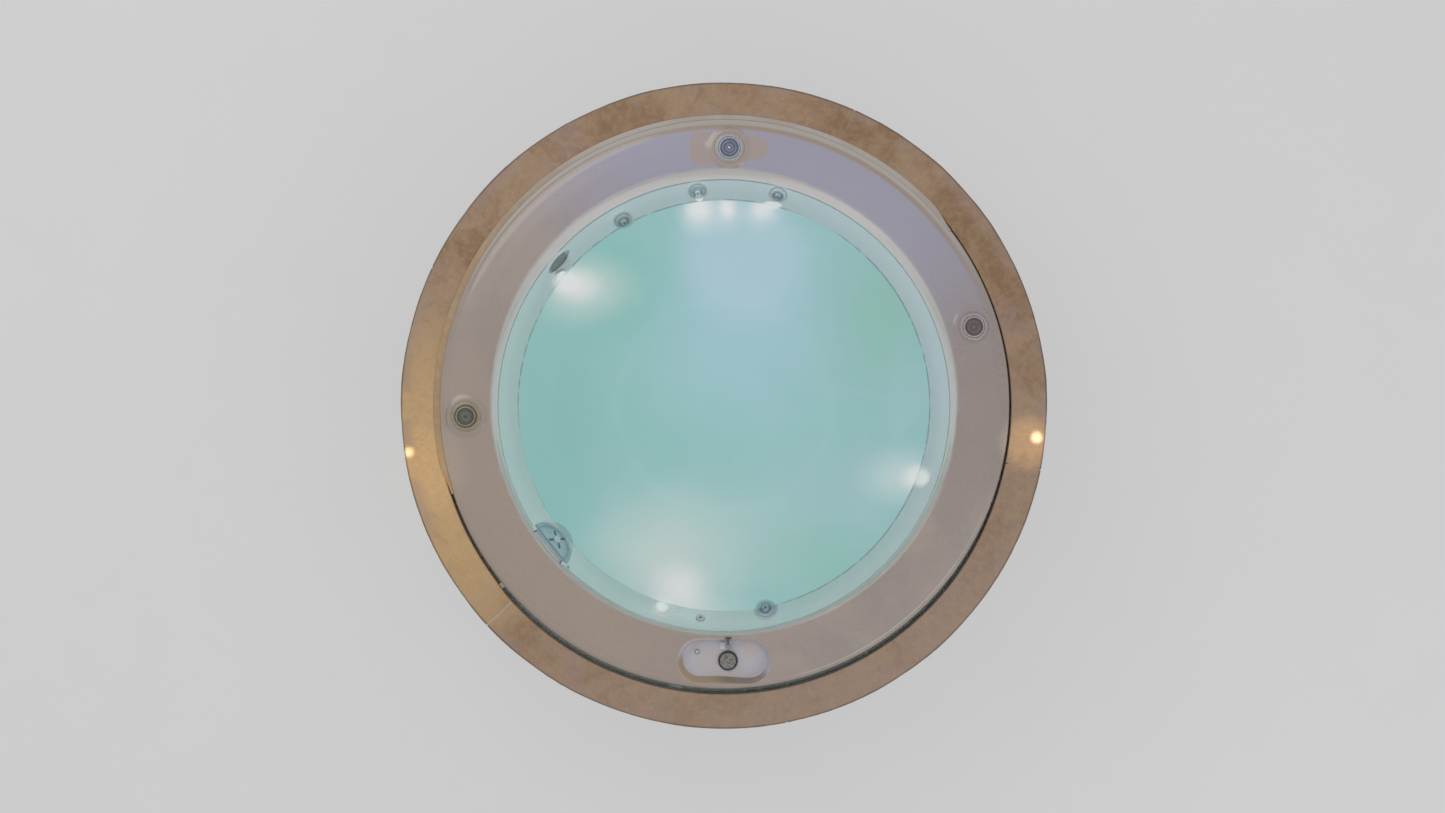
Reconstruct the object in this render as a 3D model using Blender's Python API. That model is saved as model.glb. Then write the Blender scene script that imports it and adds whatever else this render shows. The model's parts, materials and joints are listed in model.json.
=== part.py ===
"""Round built-in hot tub: a moulded tub inside a stone coping, on a base pan and six legs.

Metres, +Z up. The origin is the centre of the footprint on the floor. Clock angles are degrees
clockwise as seen from above, with 0 at the back (+Y) and 180 at the front (-Y), where the
control pocket is.
"""

import math

import bmesh
import bpy
from mathutils import Matrix, Vector

# ---- Driving dimensions ----

CLEARANCE = 0.0003  # gap between pieces that touch
HOLE_GAP = 0.001  # smallest gap round a fitting's barrel in its hole
RING_STEPS = 48  # facets round the tub and the large rings
ROUND_STEPS = 12  # facets round the fittings
WALL_ROUNDNESS = 1 / math.cos(math.pi / RING_STEPS)  # puts the middle of each wall facet on the true circle

HEIGHT = 0.900  # floor to the top of the coping
COPING_OUTER = 1.215
COPING_INNER = 1.084
COPING_THICKNESS = 0.035
COPING_JOINTS = (23.9, 101.5, 168.8, 227.2, 295.3)  # clock angles of the joints between stones
JOINT_HALF_ANGLE = 0.1  # half of a grout joint, in degrees
SEAL_SPAN = (252.0, 412.5)  # clock angles of the cover strip's ends
STONE_EDGE = 0.008  # rounding of the stones' long edges

SHELL_THICKNESS = 0.009
RIM_OUTER = 1.0725  # the tub's rolled outer edge
EDGE_FOOT = 0.874  # where the rolled edge ends above the gutter
EDGE_SHIFT = 0.008  # the outer edge stands this much towards the back
BEAD_RADIUS = 0.0095  # the rolled bead along the outer edge
CREST_RADIUS = 0.965  # the rim is highest here
CREST_HEIGHT = 0.8995
CREST_SHIFT = 0.010
CREASE_RADIUS = 0.877  # where the rim turns down into the lip
CREASE_HEIGHT = 0.891
CREASE_SHIFT = 0.017  # the lip is wide at the back and narrow at the front
WATER_RADIUS = 0.855  # the water line on the tub's wall
WATER_LEVEL = 0.852
SLOPE_FOOT = (0.785, 0.772)  # end of the sloping band that carries the jets
LAMP_BAND_TOP = (0.7815, 0.764)
LAMP_BAND_FOOT = (0.735, 0.655)
BENCH_HEIGHT = 0.465
BENCH_OUTER = 0.700
FOOTWELL_RADIUS = 0.405
FLOOR_HEIGHT = 0.040
FLOOR_RADIUS = 0.345

PAN_RADIUS = 1.180
PAN_THICKNESS = 0.030

BEARER_INNER, BEARER_OUTER = 1.0955, 1.195
BEARER_THICKNESS = 0.0257
GUTTER_WALL = 0.003
GUTTER_INNER, GUTTER_OUTER = 1.055, 1.0885
GUTTER_FLOOR = 0.800
GUTTER_LIP = 0.858  # top of the gutter's inner wall, under the rim

LEG_ANGLES = tuple(range(30, 360, 60))
POST_INNER, POST_OUTER = 1.105, 1.155
LEG_WIDTH = 0.050
ARM_LOW, ARM_HIGH = 0.735, 0.785
STUB_INNER, STUB_OUTER = 1.005, 1.030
STUB_TOP = 0.884
FOOT_PLATE = 0.008
HOOP_SECTION = (1.078, 1.103, 0.400, 0.440)  # inner and outer radius, foot and top

# Jets: clock angle, radius on the sloping band, and how far their face is turned up from level
JETS = ((331.4, 0.803, None), (353.0, 0.821, None), (14.4, 0.827, None), (168.4, 0.788, 27.0))
JET_BOSS_RISE = 0.024  # the front jet stands on a moulded boss this far above the band
JET_FLANGE, JET_BARREL, JET_BORE = 0.034, 0.027, 0.0235
JET_FACE = 0.032
NOZZLE_HOLE, EYEBALL = 0.0175, 0.0160

# Lamps: clock angle and radius on the sloping band, or None for the lamp band below it
LAMPS = ((353.6, None), (0.9, None), (14.4, None), (109.9, 0.812), (197.2, 0.803), (308.5, 0.792))
LAMP_FLANGE, LAMP_LENS, LAMP_BARREL = 0.030, 0.023, 0.021

# Air controls: clock angle and radius on the rim
AIR_CONTROLS = ((1.2, 0.967), (72.5, 0.982), (267.6, 0.969))
CONTROL_BOSS, CONTROL_COLLAR, CONTROL_KNOB, CONTROL_BARREL = 0.075, 0.056, 0.0395, 0.024
BOSS_TOP = 0.9030

POCKET_CENTRE = (0.0, -0.960)
POCKET_LENGTH, POCKET_WIDTH, POCKET_FLOOR = 0.340, 0.156, 0.858
POCKET_WALL = 0.008
BUTTON_PLACE = (0.015, -0.9615)
BUTTON_BEZEL, BUTTON_BARREL, BUTTON_CAP = 0.0375, 0.018, 0.031
LEVER_PLACE = (0.016, -0.906)
LEVER_SPINDLE = 0.011
SENSOR_PLACE = (-0.101, -0.928)

SKIMMER_ANGLE, SKIMMER_RADIUS = 231.3, 0.820
THROAT = (-0.078, 0.078, 0.0378, 0.0655)  # the skimmer's mouth in the shell
FLAP_HINGE = (0.0, 0.0415, -0.0030)  # the weir flap's pin in the skimmer's frame
GRILLE_ANGLE, GRILLE_RADIUS = 311.1, 0.830
INLET_ANGLE, INLET_RADIUS = 186.3, 0.812
INLET_BARREL, DRAIN_SPIGOT = 0.0115, 0.030

WATER_MAIN = (0.952, 0.700)  # radius and height of the water manifold
AIR_MAIN = (0.862, 0.620)
MAIN_PIPE, PUMP_PIPE, JET_PIPE = 0.024, 0.022, 0.016  # pipe radii
AIR_PIPE, AIR_RISER, AIR_HOSE, AIR_STUB = 0.015, 0.013, 0.010, 0.008
PUMP_ANGLE, PUMP_RADIUS, PUMP_AXIS = 206.0, 0.800, 0.150
HEATER_ANGLE, HEATER_RADIUS, HEATER_AXIS = 168.0, 0.860, 0.150
HEATER_LENGTH = 0.340
BLOWER_ANGLE, BLOWER_RADIUS = 60.0, 0.800


# ---- Places ----


def clock(angle, radius, height=0.0):
    """Point at a clock angle and radius."""
    turn = math.radians(angle)
    return Vector((radius * math.sin(turn), radius * math.cos(turn), height))


def facing(angle, radius, height, slope=0.0):
    """Frame at a clock angle: X runs clockwise, Y outward and up the slope, Z out of the surface."""
    turn = Matrix.Rotation(-math.radians(angle), 4, "Z")
    tilt = Matrix.Rotation(math.radians(slope), 4, "X")
    return Matrix.Translation(clock(angle, radius, height)) @ turn @ tilt


def slope_angle(top, foot):
    """How far a conical band between two (radius, height) points is tilted from level, in degrees."""
    return math.degrees(math.atan2(top[1] - foot[1], top[0] - foot[0]))


BAND_SLOPE = slope_angle((WATER_RADIUS, WATER_LEVEL), SLOPE_FOOT)
LAMP_SLOPE = slope_angle(LAMP_BAND_TOP, LAMP_BAND_FOOT)


def on_band(angle, radius, slope=None, rise=0.0):
    """Frame on the sloping band, at a radius, turned up to its own slope if it has one."""
    height = WATER_LEVEL - (WATER_RADIUS - radius) * math.tan(math.radians(BAND_SLOPE))
    return facing(angle, radius, height + rise, BAND_SLOPE if slope is None else slope)


def on_lamp_band(angle):
    """Frame at the middle of the lamp band."""
    radius = (LAMP_BAND_TOP[0] + LAMP_BAND_FOOT[0]) / 2
    height = (LAMP_BAND_TOP[1] + LAMP_BAND_FOOT[1]) / 2
    return facing(angle, radius, height, LAMP_SLOPE)


def jet_frame(angle, radius, slope):
    return on_band(angle, radius, slope, JET_BOSS_RISE if slope else 0.0)


def lamp_frame(angle, radius):
    return on_lamp_band(angle) if radius is None else on_band(angle, radius)


# ---- Mesh building ----


def loft(sections, ring=False):
    """Closed mesh through cross-sections of equal point count, capped at both ends or joined in a ring."""
    bm = bmesh.new()
    rows = [[bm.verts.new(point) for point in section] for section in sections]
    pairs = list(zip(rows, rows[1:]))
    if ring:
        pairs.append((rows[-1], rows[0]))
    for low, high in pairs:
        for i, corner in enumerate(low):
            j = (i + 1) % len(low)
            bm.faces.new((corner, low[j], high[j], high[i]))
    if not ring:
        bm.faces.new(reversed(rows[0]))
        bm.faces.new(rows[-1])
    bmesh.ops.recalc_face_normals(bm, faces=bm.faces)
    return bm


def circle(radius, height, steps, shift=0.0):
    """Points of a level circle whose centre stands shift towards +Y."""
    turns = [2 * math.pi * i / steps for i in range(steps)]
    return [Vector((radius * math.sin(t), shift + radius * math.cos(t), height)) for t in turns]


def turned(outline, steps=ROUND_STEPS, ring=False):
    """Turned body from (radius, height) points about Z."""
    return loft([circle(radius, height, steps) for radius, height in outline], ring)


def prism(outline, low, high):
    """Upright body from a level outline."""
    return loft([[Vector((x, y, z)) for x, y in outline] for z in (low, high)])


def rectangle(left, right, near, far):
    return [(left, near), (right, near), (right, far), (left, far)]


def arc_points(centre, radii, start, stop, steps):
    """Points of an elliptical arc, counterclockwise from start to stop degrees."""
    turns = [math.radians(start + (stop - start) * i / steps) for i in range(steps + 1)]
    return [(centre[0] + radii[0] * math.cos(t), centre[1] + radii[1] * math.sin(t)) for t in turns]


def stadium(centre, length, width, steps=8):
    """Outline with two straight sides along X and round ends."""
    end = width / 2
    reach = length / 2 - end
    right = arc_points((centre[0] + reach, centre[1]), (end, end), -90, 90, steps)
    left = arc_points((centre[0] - reach, centre[1]), (end, end), 90, 270, steps)
    return right + left


def smooth_route(points, pieces=3):
    """Catmull-Rom curve through a pipe's route, with its first and last stretches straight."""
    route = [points[0]]
    inner = points[1:-1]
    padded = [points[0], *inner, points[-1]]
    for a, b, c, d in zip(padded, padded[1:], padded[2:], padded[3:]):
        for i in range(pieces):
            t = i / pieces
            route.append(
                0.5 * ((2 * b) + (c - a) * t + (2 * a - 5 * b + 4 * c - d) * t * t
                       + (3 * b - a - 3 * c + d) * t * t * t)
            )
    return [*route, inner[-1], points[-1]]


def pipe(points, radius, sides=8):
    """Round pipe along a route, its sections carried along without twist."""
    ways = [(b - a).normalized() for a, b in zip(points, points[1:])]
    headings = [ways[0], *[(a + b).normalized() for a, b in zip(ways, ways[1:])], ways[-1]]
    side = headings[0].orthogonal().normalized()
    sections = []
    for point, heading, before in zip(points, headings, [headings[0], *headings]):
        side = before.rotation_difference(heading) @ side
        other = heading.cross(side)
        turns = [2 * math.pi * i / sides for i in range(sides)]
        sections.append([point + radius * (math.cos(t) * side + math.sin(t) * other) for t in turns])
    return loft(sections)


def gather(pieces):
    """One mesh from several separate bodies, each moved to its frame."""
    whole = bmesh.new()
    for bm, frame in pieces:
        bm.transform(frame)
        mesh = bpy.data.meshes.new("gathered")
        bm.to_mesh(mesh)
        bm.free()
        whole.from_mesh(mesh)
        bpy.data.meshes.remove(mesh)
    return whole


# ---- Objects and materials ----


def material(name, colour, roughness, metallic=0.0):
    made = bpy.data.materials.new(name)
    made.use_nodes = True
    shader = made.node_tree.nodes["Principled BSDF"]
    shader.inputs["Base Color"].default_value = (*colour, 1.0)
    shader.inputs["Roughness"].default_value = roughness
    shader.inputs["Metallic"].default_value = metallic
    return made


def add(name, bm, look=None, frame=Matrix()):
    """Object from a mesh, placed by its frame."""
    mesh = bpy.data.meshes.new(name)
    bm.to_mesh(mesh)
    bm.free()
    mesh.shade_smooth()
    mesh.set_sharp_from_angle(angle=math.radians(35))
    if look is not None:
        mesh.materials.append(look)
    made = bpy.data.objects.new(name, mesh)
    bpy.context.scene.collection.objects.link(made)
    made.matrix_world = frame
    return made


def combine(target, bm, operation):
    """Joins a hidden tool body to the target, or cuts it away."""
    tool = add(f"{target.name}_{operation.lower()}_{len(target.modifiers)}", bm)
    tool.matrix_world = target.matrix_world
    tool.hide_render = True
    tool.display_type = "WIRE"
    step = target.modifiers.new(operation.title(), "BOOLEAN")
    step.object = tool
    step.operation = operation
    step.solver = "EXACT"


def clear_scene():
    for item in list(bpy.data.objects):
        bpy.data.objects.remove(item, do_unlink=True)


LOOKS = {
    "acrylic": ((0.33, 0.29, 0.26), 0.30, 0.0),
    "stone": ((0.27, 0.19, 0.12), 0.62, 0.0),
    "seal": ((0.62, 0.58, 0.50), 0.55, 0.0),
    "white_plastic": ((0.70, 0.70, 0.68), 0.40, 0.0),
    "grey_plastic": ((0.20, 0.20, 0.21), 0.45, 0.0),
    "dark_plastic": ((0.06, 0.06, 0.065), 0.40, 0.0),
    "chrome": ((0.62, 0.65, 0.68), 0.15, 1.0),
    "lamp": ((0.90, 0.92, 0.88), 0.12, 0.0),
    "steel": ((0.42, 0.44, 0.46), 0.45, 0.8),
    "board": ((0.23, 0.15, 0.09), 0.75, 0.0),
    "pipe": ((0.72, 0.73, 0.74), 0.42, 0.0),
    "panel": ((0.34, 0.45, 0.50), 0.38, 0.0),
    "motor": ((0.05, 0.07, 0.10), 0.50, 0.0),
}


# ---- Tub ----


def wet_outline():
    """The tub's water side from the rolled edge to the floor: radius, height, backward shift, and
    whether the dry side follows the point or cuts across it."""
    bead_centre = RIM_OUTER - BEAD_RADIUS
    bead_height = CREST_HEIGHT - BEAD_RADIUS
    bead = arc_points((bead_centre, bead_height), (BEAD_RADIUS, BEAD_RADIUS), 0, 135, 3)
    edge = [(RIM_OUTER, EDGE_FOOT), *bead, (RIM_OUTER - 0.025, CREST_HEIGHT - 0.006)]
    rim = [
        (CREST_RADIUS + 0.060, CREST_HEIGHT - 0.003, EDGE_SHIFT, True),
        (CREST_RADIUS, CREST_HEIGHT, CREST_SHIFT, True),
        (CREASE_RADIUS + 0.018, CREASE_HEIGHT + 0.005, CREASE_SHIFT, False),
        (CREASE_RADIUS, CREASE_HEIGHT, CREASE_SHIFT, True),
    ]
    wall = [
        (WATER_RADIUS, WATER_LEVEL, True),
        (*SLOPE_FOOT, True),
        (*LAMP_BAND_TOP, False),
        (*LAMP_BAND_FOOT, True),
        (BENCH_OUTER + 0.012, BENCH_HEIGHT + 0.035, True),
        (BENCH_OUTER, BENCH_HEIGHT + 0.011, False),
        (BENCH_OUTER - 0.025, BENCH_HEIGHT, True),
        (FOOTWELL_RADIUS + 0.035, BENCH_HEIGHT - 0.007, True),
        (FOOTWELL_RADIUS + 0.010, BENCH_HEIGHT - 0.015, False),
        (FOOTWELL_RADIUS, BENCH_HEIGHT - 0.037, True),
        (FLOOR_RADIUS + 0.040, FLOOR_HEIGHT + 0.040, True),
        (FLOOR_RADIUS + 0.028, FLOOR_HEIGHT + 0.012, False),
        (FLOOR_RADIUS, FLOOR_HEIGHT, True),
    ]
    flat_sided = [(radius * WALL_ROUNDNESS, height, 0.0, both) for radius, height, both in wall]
    return [(*point, EDGE_SHIFT, False) for point in edge] + rim + flat_sided


def dry_outline(wet):
    """The shared points of the wet side, moved out by the shell's thickness."""
    inner_edge = RIM_OUTER - SHELL_THICKNESS
    dry = [(inner_edge, EDGE_FOOT, EDGE_SHIFT), (inner_edge, CREST_HEIGHT - 0.014, EDGE_SHIFT)]
    shared = [point[:3] for point in wet if point[3]]
    before = wet[5][:3]
    for here, after in zip(shared, [*shared[1:], (0.0, FLOOR_HEIGHT, 0.0)]):
        back = Vector(here[:2]) - Vector(before[:2])
        ahead = Vector(after[:2]) - Vector(here[:2])
        first = Vector((-back.y, back.x)).normalized()
        second = Vector((-ahead.y, ahead.x)).normalized()
        mitre = (first + second).normalized()
        reach = SHELL_THICKNESS / mitre.dot(second)
        dry.append((here[0] + mitre.x * reach, here[1] + mitre.y * reach, here[2]))
        before = here
    return dry


def pocket_body(grow, low, high):
    outline = stadium(POCKET_CENTRE, POCKET_LENGTH + 2 * grow, POCKET_WIDTH + 2 * grow)
    return prism(outline, low, high)


def hole(radius, low=-0.060, high=0.040):
    """Drill for a fitting that passes through the shell."""
    return turned([(radius, low), (radius, high)], ROUND_STEPS)


def make_shell(look):
    wet = wet_outline()
    outline = [*reversed(dry_outline(wet)), *[point[:3] for point in wet]]
    body = loft([circle(radius, height, RING_STEPS, shift) for radius, height, shift in outline])
    bmesh.ops.triangulate(body, faces=body.faces)
    shell = add("tub_shell", body, look)

    control_boss = [(CONTROL_BOSS, 0.893), (CONTROL_BOSS - 0.006, BOSS_TOP)]
    bosses = [
        (turned(control_boss, 24), facing(angle, radius, 0.0)) for angle, radius in AIR_CONTROLS
    ]
    bosses.append((pocket_body(POCKET_WALL, POCKET_FLOOR - POCKET_WALL, 0.892), Matrix()))
    for angle, radius, slope in JETS:
        if slope:
            boss = turned([(0.044, -0.038), (0.050, -0.026), (0.040, -0.0015)], 24)
            bosses.append((boss, jet_frame(angle, radius, slope)))
    combine(shell, gather(bosses), "UNION")

    cuts = [(pocket_body(0.0, POCKET_FLOOR, 0.930), Matrix())]
    cuts += [(hole(JET_BARREL + HOLE_GAP), jet_frame(*jet)) for jet in JETS]
    cuts += [(hole(LAMP_BARREL + HOLE_GAP), lamp_frame(*lamp)) for lamp in LAMPS]
    cuts += [(hole(CONTROL_BARREL + 3 * HOLE_GAP), facing(a, r, CREST_HEIGHT)) for a, r in AIR_CONTROLS]
    cuts.append((hole(INLET_BARREL + 0.002, -0.030, 0.020), on_band(INLET_ANGLE, INLET_RADIUS)))
    cuts.append((hole(DRAIN_SPIGOT + 2 * HOLE_GAP, 0.020, 0.060), Matrix()))
    skimmer = on_band(SKIMMER_ANGLE, SKIMMER_RADIUS)
    cuts.append((prism(skimmer_outline(0.0015), 0.0020, 0.030), skimmer))
    cuts.append((prism(rectangle(*THROAT), -0.030, 0.0019), skimmer))
    cuts.append((hole(0.031, -0.030, 0.0019), skimmer @ Matrix.Translation((0, -0.004, 0))))
    grille = on_band(GRILLE_ANGLE, GRILLE_RADIUS)
    cuts.append((prism(stadium((0, 0), 0.088, 0.022), -0.030, 0.020), grille))
    combine(shell, gather(cuts), "DIFFERENCE")

    through_floor = (POCKET_FLOOR - 0.018, POCKET_FLOOR + 0.022)
    combine(shell, gather([
        (hole(LEVER_SPINDLE + HOLE_GAP, *through_floor), Matrix.Translation((*LEVER_PLACE, 0.0))),
        (hole(BUTTON_BARREL + 2 * HOLE_GAP, *through_floor), Matrix.Translation((*BUTTON_PLACE, 0.0))),
    ]), "DIFFERENCE")


# ---- Coping, gutter and stand ----


def ring_angles(start, stop):
    """Clock angles from start to stop with the ring grid's own angles between them."""
    grid = 360 / RING_STEPS
    first = math.ceil((start + 1.0) / grid)
    last = math.floor((stop - 1.0) / grid)
    return [start, *[grid * i for i in range(first, last + 1)], stop]


def arc_body(outline, start, stop):
    """Part of a ring with a (radius, height) section."""
    angles = ring_angles(start, stop)
    return loft([[clock(angle, radius, height) for radius, height in outline] for angle in angles])


def stone_outline():
    """Section of a coping stone with both top edges rounded."""
    base = HEIGHT - COPING_THICKNESS
    inner = arc_points((COPING_INNER + STONE_EDGE, HEIGHT - STONE_EDGE), (STONE_EDGE,) * 2, 180, 90, 2)
    outer = arc_points((COPING_OUTER - STONE_EDGE, HEIGHT - STONE_EDGE), (STONE_EDGE,) * 2, 90, 0, 2)
    return [(COPING_INNER, base), *inner, *outer, (COPING_OUTER, base)]


def make_coping(looks):
    joints = [*COPING_JOINTS, COPING_JOINTS[0] + 360]
    for number, (start, stop) in enumerate(zip(joints, joints[1:]), 1):
        stone = arc_body(stone_outline(), start + JOINT_HALF_ANGLE, stop - JOINT_HALF_ANGLE)
        add(f"coping_stone_{number}", stone, looks["stone"])

    flashing_top = HEIGHT - COPING_THICKNESS - CLEARANCE
    flashing_low = flashing_top - GUTTER_WALL
    gutter = [
        (GUTTER_INNER, GUTTER_FLOOR),
        (GUTTER_INNER, GUTTER_LIP),
        (GUTTER_INNER + GUTTER_WALL, GUTTER_LIP),
        (GUTTER_INNER + GUTTER_WALL, GUTTER_FLOOR + GUTTER_WALL),
        (GUTTER_OUTER - GUTTER_WALL, GUTTER_FLOOR + GUTTER_WALL),
        (GUTTER_OUTER - GUTTER_WALL, flashing_top),
        (BEARER_OUTER, flashing_top),
        (BEARER_OUTER, flashing_low),
        (GUTTER_OUTER, flashing_low),
        (GUTTER_OUTER, GUTTER_FLOOR),
    ]
    add("overflow_gutter", turned(gutter, RING_STEPS, ring=True), looks["grey_plastic"])

    bearer_top = flashing_low - CLEARANCE
    bearer_low = bearer_top - BEARER_THICKNESS
    bearer = rectangle(BEARER_INNER, BEARER_OUTER, bearer_low, bearer_top)
    add("coping_bearer", turned(bearer, RING_STEPS, ring=True), looks["board"])
    return bearer_low


def make_edge_seal(look):
    """Flat cover strip over the joint at the back and left, where the tub nearly meets the stones."""
    low, high = HEIGHT + CLEARANCE, HEIGHT + 0.0032
    sections = []
    for angle in ring_angles(*SEAL_SPAN):
        turn = math.radians(angle)
        shifted = Vector((0.0, EDGE_SHIFT, 0.0))
        inner = clock(angle, RIM_OUTER - 0.007) + shifted * max(0.0, math.cos(turn))
        outer = clock(angle, COPING_INNER + 0.007)
        along = (outer - inner) * 0.15
        up = Vector((0.0, 0.0, 1.0))
        sections.append([inner + up * low, inner + along + up * high,
                         outer - along + up * high, outer + up * low])
    add("edge_seal", loft(sections), look)


def make_stand(looks, bearer_low):
    pan = [(PAN_RADIUS, 0.0), (PAN_RADIUS, PAN_THICKNESS - 0.010), (PAN_RADIUS - 0.010, PAN_THICKNESS)]
    add("base_pan", turned(pan, RING_STEPS), looks["grey_plastic"])
    base = PAN_THICKNESS + CLEARANCE
    outline = [
        (POST_INNER - 0.030, base),
        (POST_OUTER, base),
        (POST_OUTER, bearer_low - CLEARANCE),
        (POST_INNER, bearer_low - CLEARANCE),
        (POST_INNER, ARM_HIGH),
        (STUB_OUTER, ARM_HIGH),
        (STUB_OUTER, STUB_TOP),
        (STUB_INNER, STUB_TOP),
        (STUB_INNER, ARM_LOW),
        (POST_INNER, ARM_LOW),
        (POST_INNER, base + FOOT_PLATE),
        (POST_INNER - 0.030, base + FOOT_PLATE),
    ]
    for number, angle in enumerate(LEG_ANGLES, 1):
        sections = [[Vector((x, y, z)) for y, z in outline] for x in (-LEG_WIDTH / 2, LEG_WIDTH / 2)]
        add(f"frame_leg_{number}", loft(sections), looks["steel"], facing(angle, 0.0, 0.0))
    inner, outer, foot, top = HOOP_SECTION
    hoop = turned(rectangle(inner, outer, foot, top), RING_STEPS, ring=True)
    add("frame_hoop", hoop, looks["steel"])


# ---- Jets, lamps and air controls ----


def make_jets(looks):
    body = [
        (0.015, -0.085), (0.015, -0.062), (JET_BARREL, -0.060), (JET_BARREL, 0.0015),
        (JET_FLANGE, 0.0015), (JET_FLANGE, 0.0045), (JET_BORE, 0.0045), (JET_BORE, -0.030),
    ]
    face = [
        (JET_BORE - 0.0013, -0.008), (JET_BORE - 0.0013, 0.0048), (JET_FACE, 0.0048),
        (JET_FACE, 0.0070), (JET_FACE - 0.004, 0.0095), (NOZZLE_HOLE + 0.002, 0.0095),
        (NOZZLE_HOLE, 0.0080), (NOZZLE_HOLE, -0.008),
    ]
    ball = [(EYEBALL * math.sin(math.radians(t)), -EYEBALL * math.cos(math.radians(t)))
            for t in (35, 70, 105, 140)]
    nozzle = [*ball, (0.0085, 0.019), (0.0060, 0.019), (0.0050, 0.002)]
    for number, jet in enumerate(JETS, 1):
        frame = jet_frame(*jet)
        add(f"jet_body_{number}", turned(body), looks["white_plastic"], frame)
        add(f"jet_face_{number}", turned(face, ring=True), looks["chrome"], frame)
        add(f"jet_nozzle_{number}", turned(nozzle, 12), looks["dark_plastic"], frame)


def make_lamps(look):
    outline = [
        (0.008, -0.062), (0.008, -0.046), (LAMP_BARREL, -0.044), (LAMP_BARREL, 0.0015),
        (LAMP_FLANGE, 0.0015), (LAMP_FLANGE, 0.0045), (LAMP_LENS, 0.0065), (0.014, 0.0120),
    ]
    for number, lamp in enumerate(LAMPS, 1):
        add(f"lamp_{number}", turned(outline), look, lamp_frame(*lamp))


def make_air_controls(looks):
    base = CLEARANCE
    collar = [
        (0.010, -0.095), (0.010, -0.076), (CONTROL_BARREL, -0.074), (CONTROL_BARREL, base),
        (CONTROL_COLLAR, base), (CONTROL_COLLAR, 0.0030), (CONTROL_COLLAR - 0.006, 0.0060),
        (CONTROL_KNOB + 0.003, 0.0060), (CONTROL_KNOB + 0.003, 0.0025), (0.010, 0.0025),
        (0.010, -0.025),
    ]
    knob = [
        (0.009, -0.020), (0.009, 0.0030), (CONTROL_KNOB, 0.0030), (CONTROL_KNOB, 0.0100),
        (CONTROL_KNOB - 0.004, 0.0130), (0.024, 0.0130), (0.022, 0.0112), (0.010, 0.0112),
    ]
    for number, (angle, radius) in enumerate(AIR_CONTROLS, 1):
        frame = facing(angle, radius, BOSS_TOP)
        add(f"air_control_collar_{number}", turned(collar, 16), looks["white_plastic"], frame)
        add(f"air_control_knob_{number}", turned(knob, 16), looks["dark_plastic"], frame)


# ---- Control pocket ----


def make_pocket_fittings(looks):
    floor = POCKET_FLOOR + CLEARANCE
    bezel = [
        (BUTTON_BARREL, -0.030), (BUTTON_BARREL, 0.0), (BUTTON_BEZEL, 0.0), (BUTTON_BEZEL, 0.006),
        (BUTTON_BEZEL - 0.003, 0.009), (BUTTON_CAP + 0.001, 0.009), (BUTTON_CAP + 0.001, 0.0025),
        (0.008, 0.0025), (0.008, -0.020),
    ]
    cap = [
        (0.0072, -0.012), (0.0072, 0.0070), (BUTTON_CAP, 0.0070), (BUTTON_CAP, 0.0115),
        (BUTTON_CAP - 0.003, 0.0135),
    ]
    place = Matrix.Translation((*BUTTON_PLACE, floor))
    add("button_bezel", turned(bezel, 16), looks["dark_plastic"], place)
    add("button_cap", turned(cap, 16), looks["grey_plastic"], place)

    sensor = [(0.009, 0.0), (0.009, 0.004), (0.006, 0.006)]
    place = Matrix.Translation((*SENSOR_PLACE, floor))
    add("temperature_sensor", turned(sensor, 12), looks["panel"], place)

    spindle = [(LEVER_SPINDLE, -0.045), (LEVER_SPINDLE, 0.044), (LEVER_SPINDLE - 0.002, 0.048)]
    lever = add("diverter_lever", turned(spindle, 12), looks["chrome"],
                Matrix.Translation((*LEVER_PLACE, floor)))
    arm = [(-0.0035, 0.0), (0.0035, 0.0), (0.0035, 0.030), (0.012, 0.030), (0.012, 0.039),
           (-0.012, 0.039), (-0.012, 0.030), (-0.0035, 0.030)]
    combine(lever, prism(arm, 0.0412, 0.0468), "UNION")


# ---- Skimmer, grille, inlet and drain ----


def skimmer_outline(grow):
    """Half-oval plate with its straight side up the slope."""
    straight = 0.034 + grow
    curve = arc_points((0.0, 0.034), (0.094 + grow, 0.082 + grow), 180, 360, 16)
    if grow:
        return [(-0.094 - grow, straight), *curve, (0.094 + grow, straight)]
    return curve


def make_skimmer(looks):
    frame = on_band(SKIMMER_ANGLE, SKIMMER_RADIUS)
    panel = add("skimmer_panel", prism(skimmer_outline(0.0), 0.0023, 0.0083), looks["panel"], frame)
    middle = Matrix.Translation((0, -0.004, 0))
    barrel = (turned([(0.029, -0.0088), (0.029, 0.0050)]), middle)
    combine(panel, gather([barrel]), "UNION")
    boss = (turned([(0.021, 0.0060), (0.021, 0.0110), (0.018, 0.0125)]), middle)
    combine(panel, gather([boss]), "UNION")

    box = prism(rectangle(-0.088, 0.088, -0.040, 0.074), -0.075, -0.0110)
    body = add("skimmer_body", box, looks["white_plastic"], frame)
    combine(body, prism(rectangle(-0.080, 0.080, 0.0345, 0.068), -0.052, 0.010), "DIFFERENCE")

    hinge = frame @ Matrix.Translation(FLAP_HINGE)
    flap = [[Vector((x, y, z)) for y, z in flap_section()] for x in (-0.074, 0.074)]
    add("skimmer_flap", loft(flap), looks["white_plastic"], hinge)


def flap_section():
    """Section of the weir flap from its hinge barrel at the foot to its float edge."""
    barrel = arc_points((0.0, 0.0), (0.0028, 0.0028), 60, 300, 6)
    float_edge = [(0.014, -0.0020), (0.0205, -0.0036), (0.0215, 0.0), (0.0205, 0.0036), (0.014, 0.0020)]
    return [*barrel, *float_edge]


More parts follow.
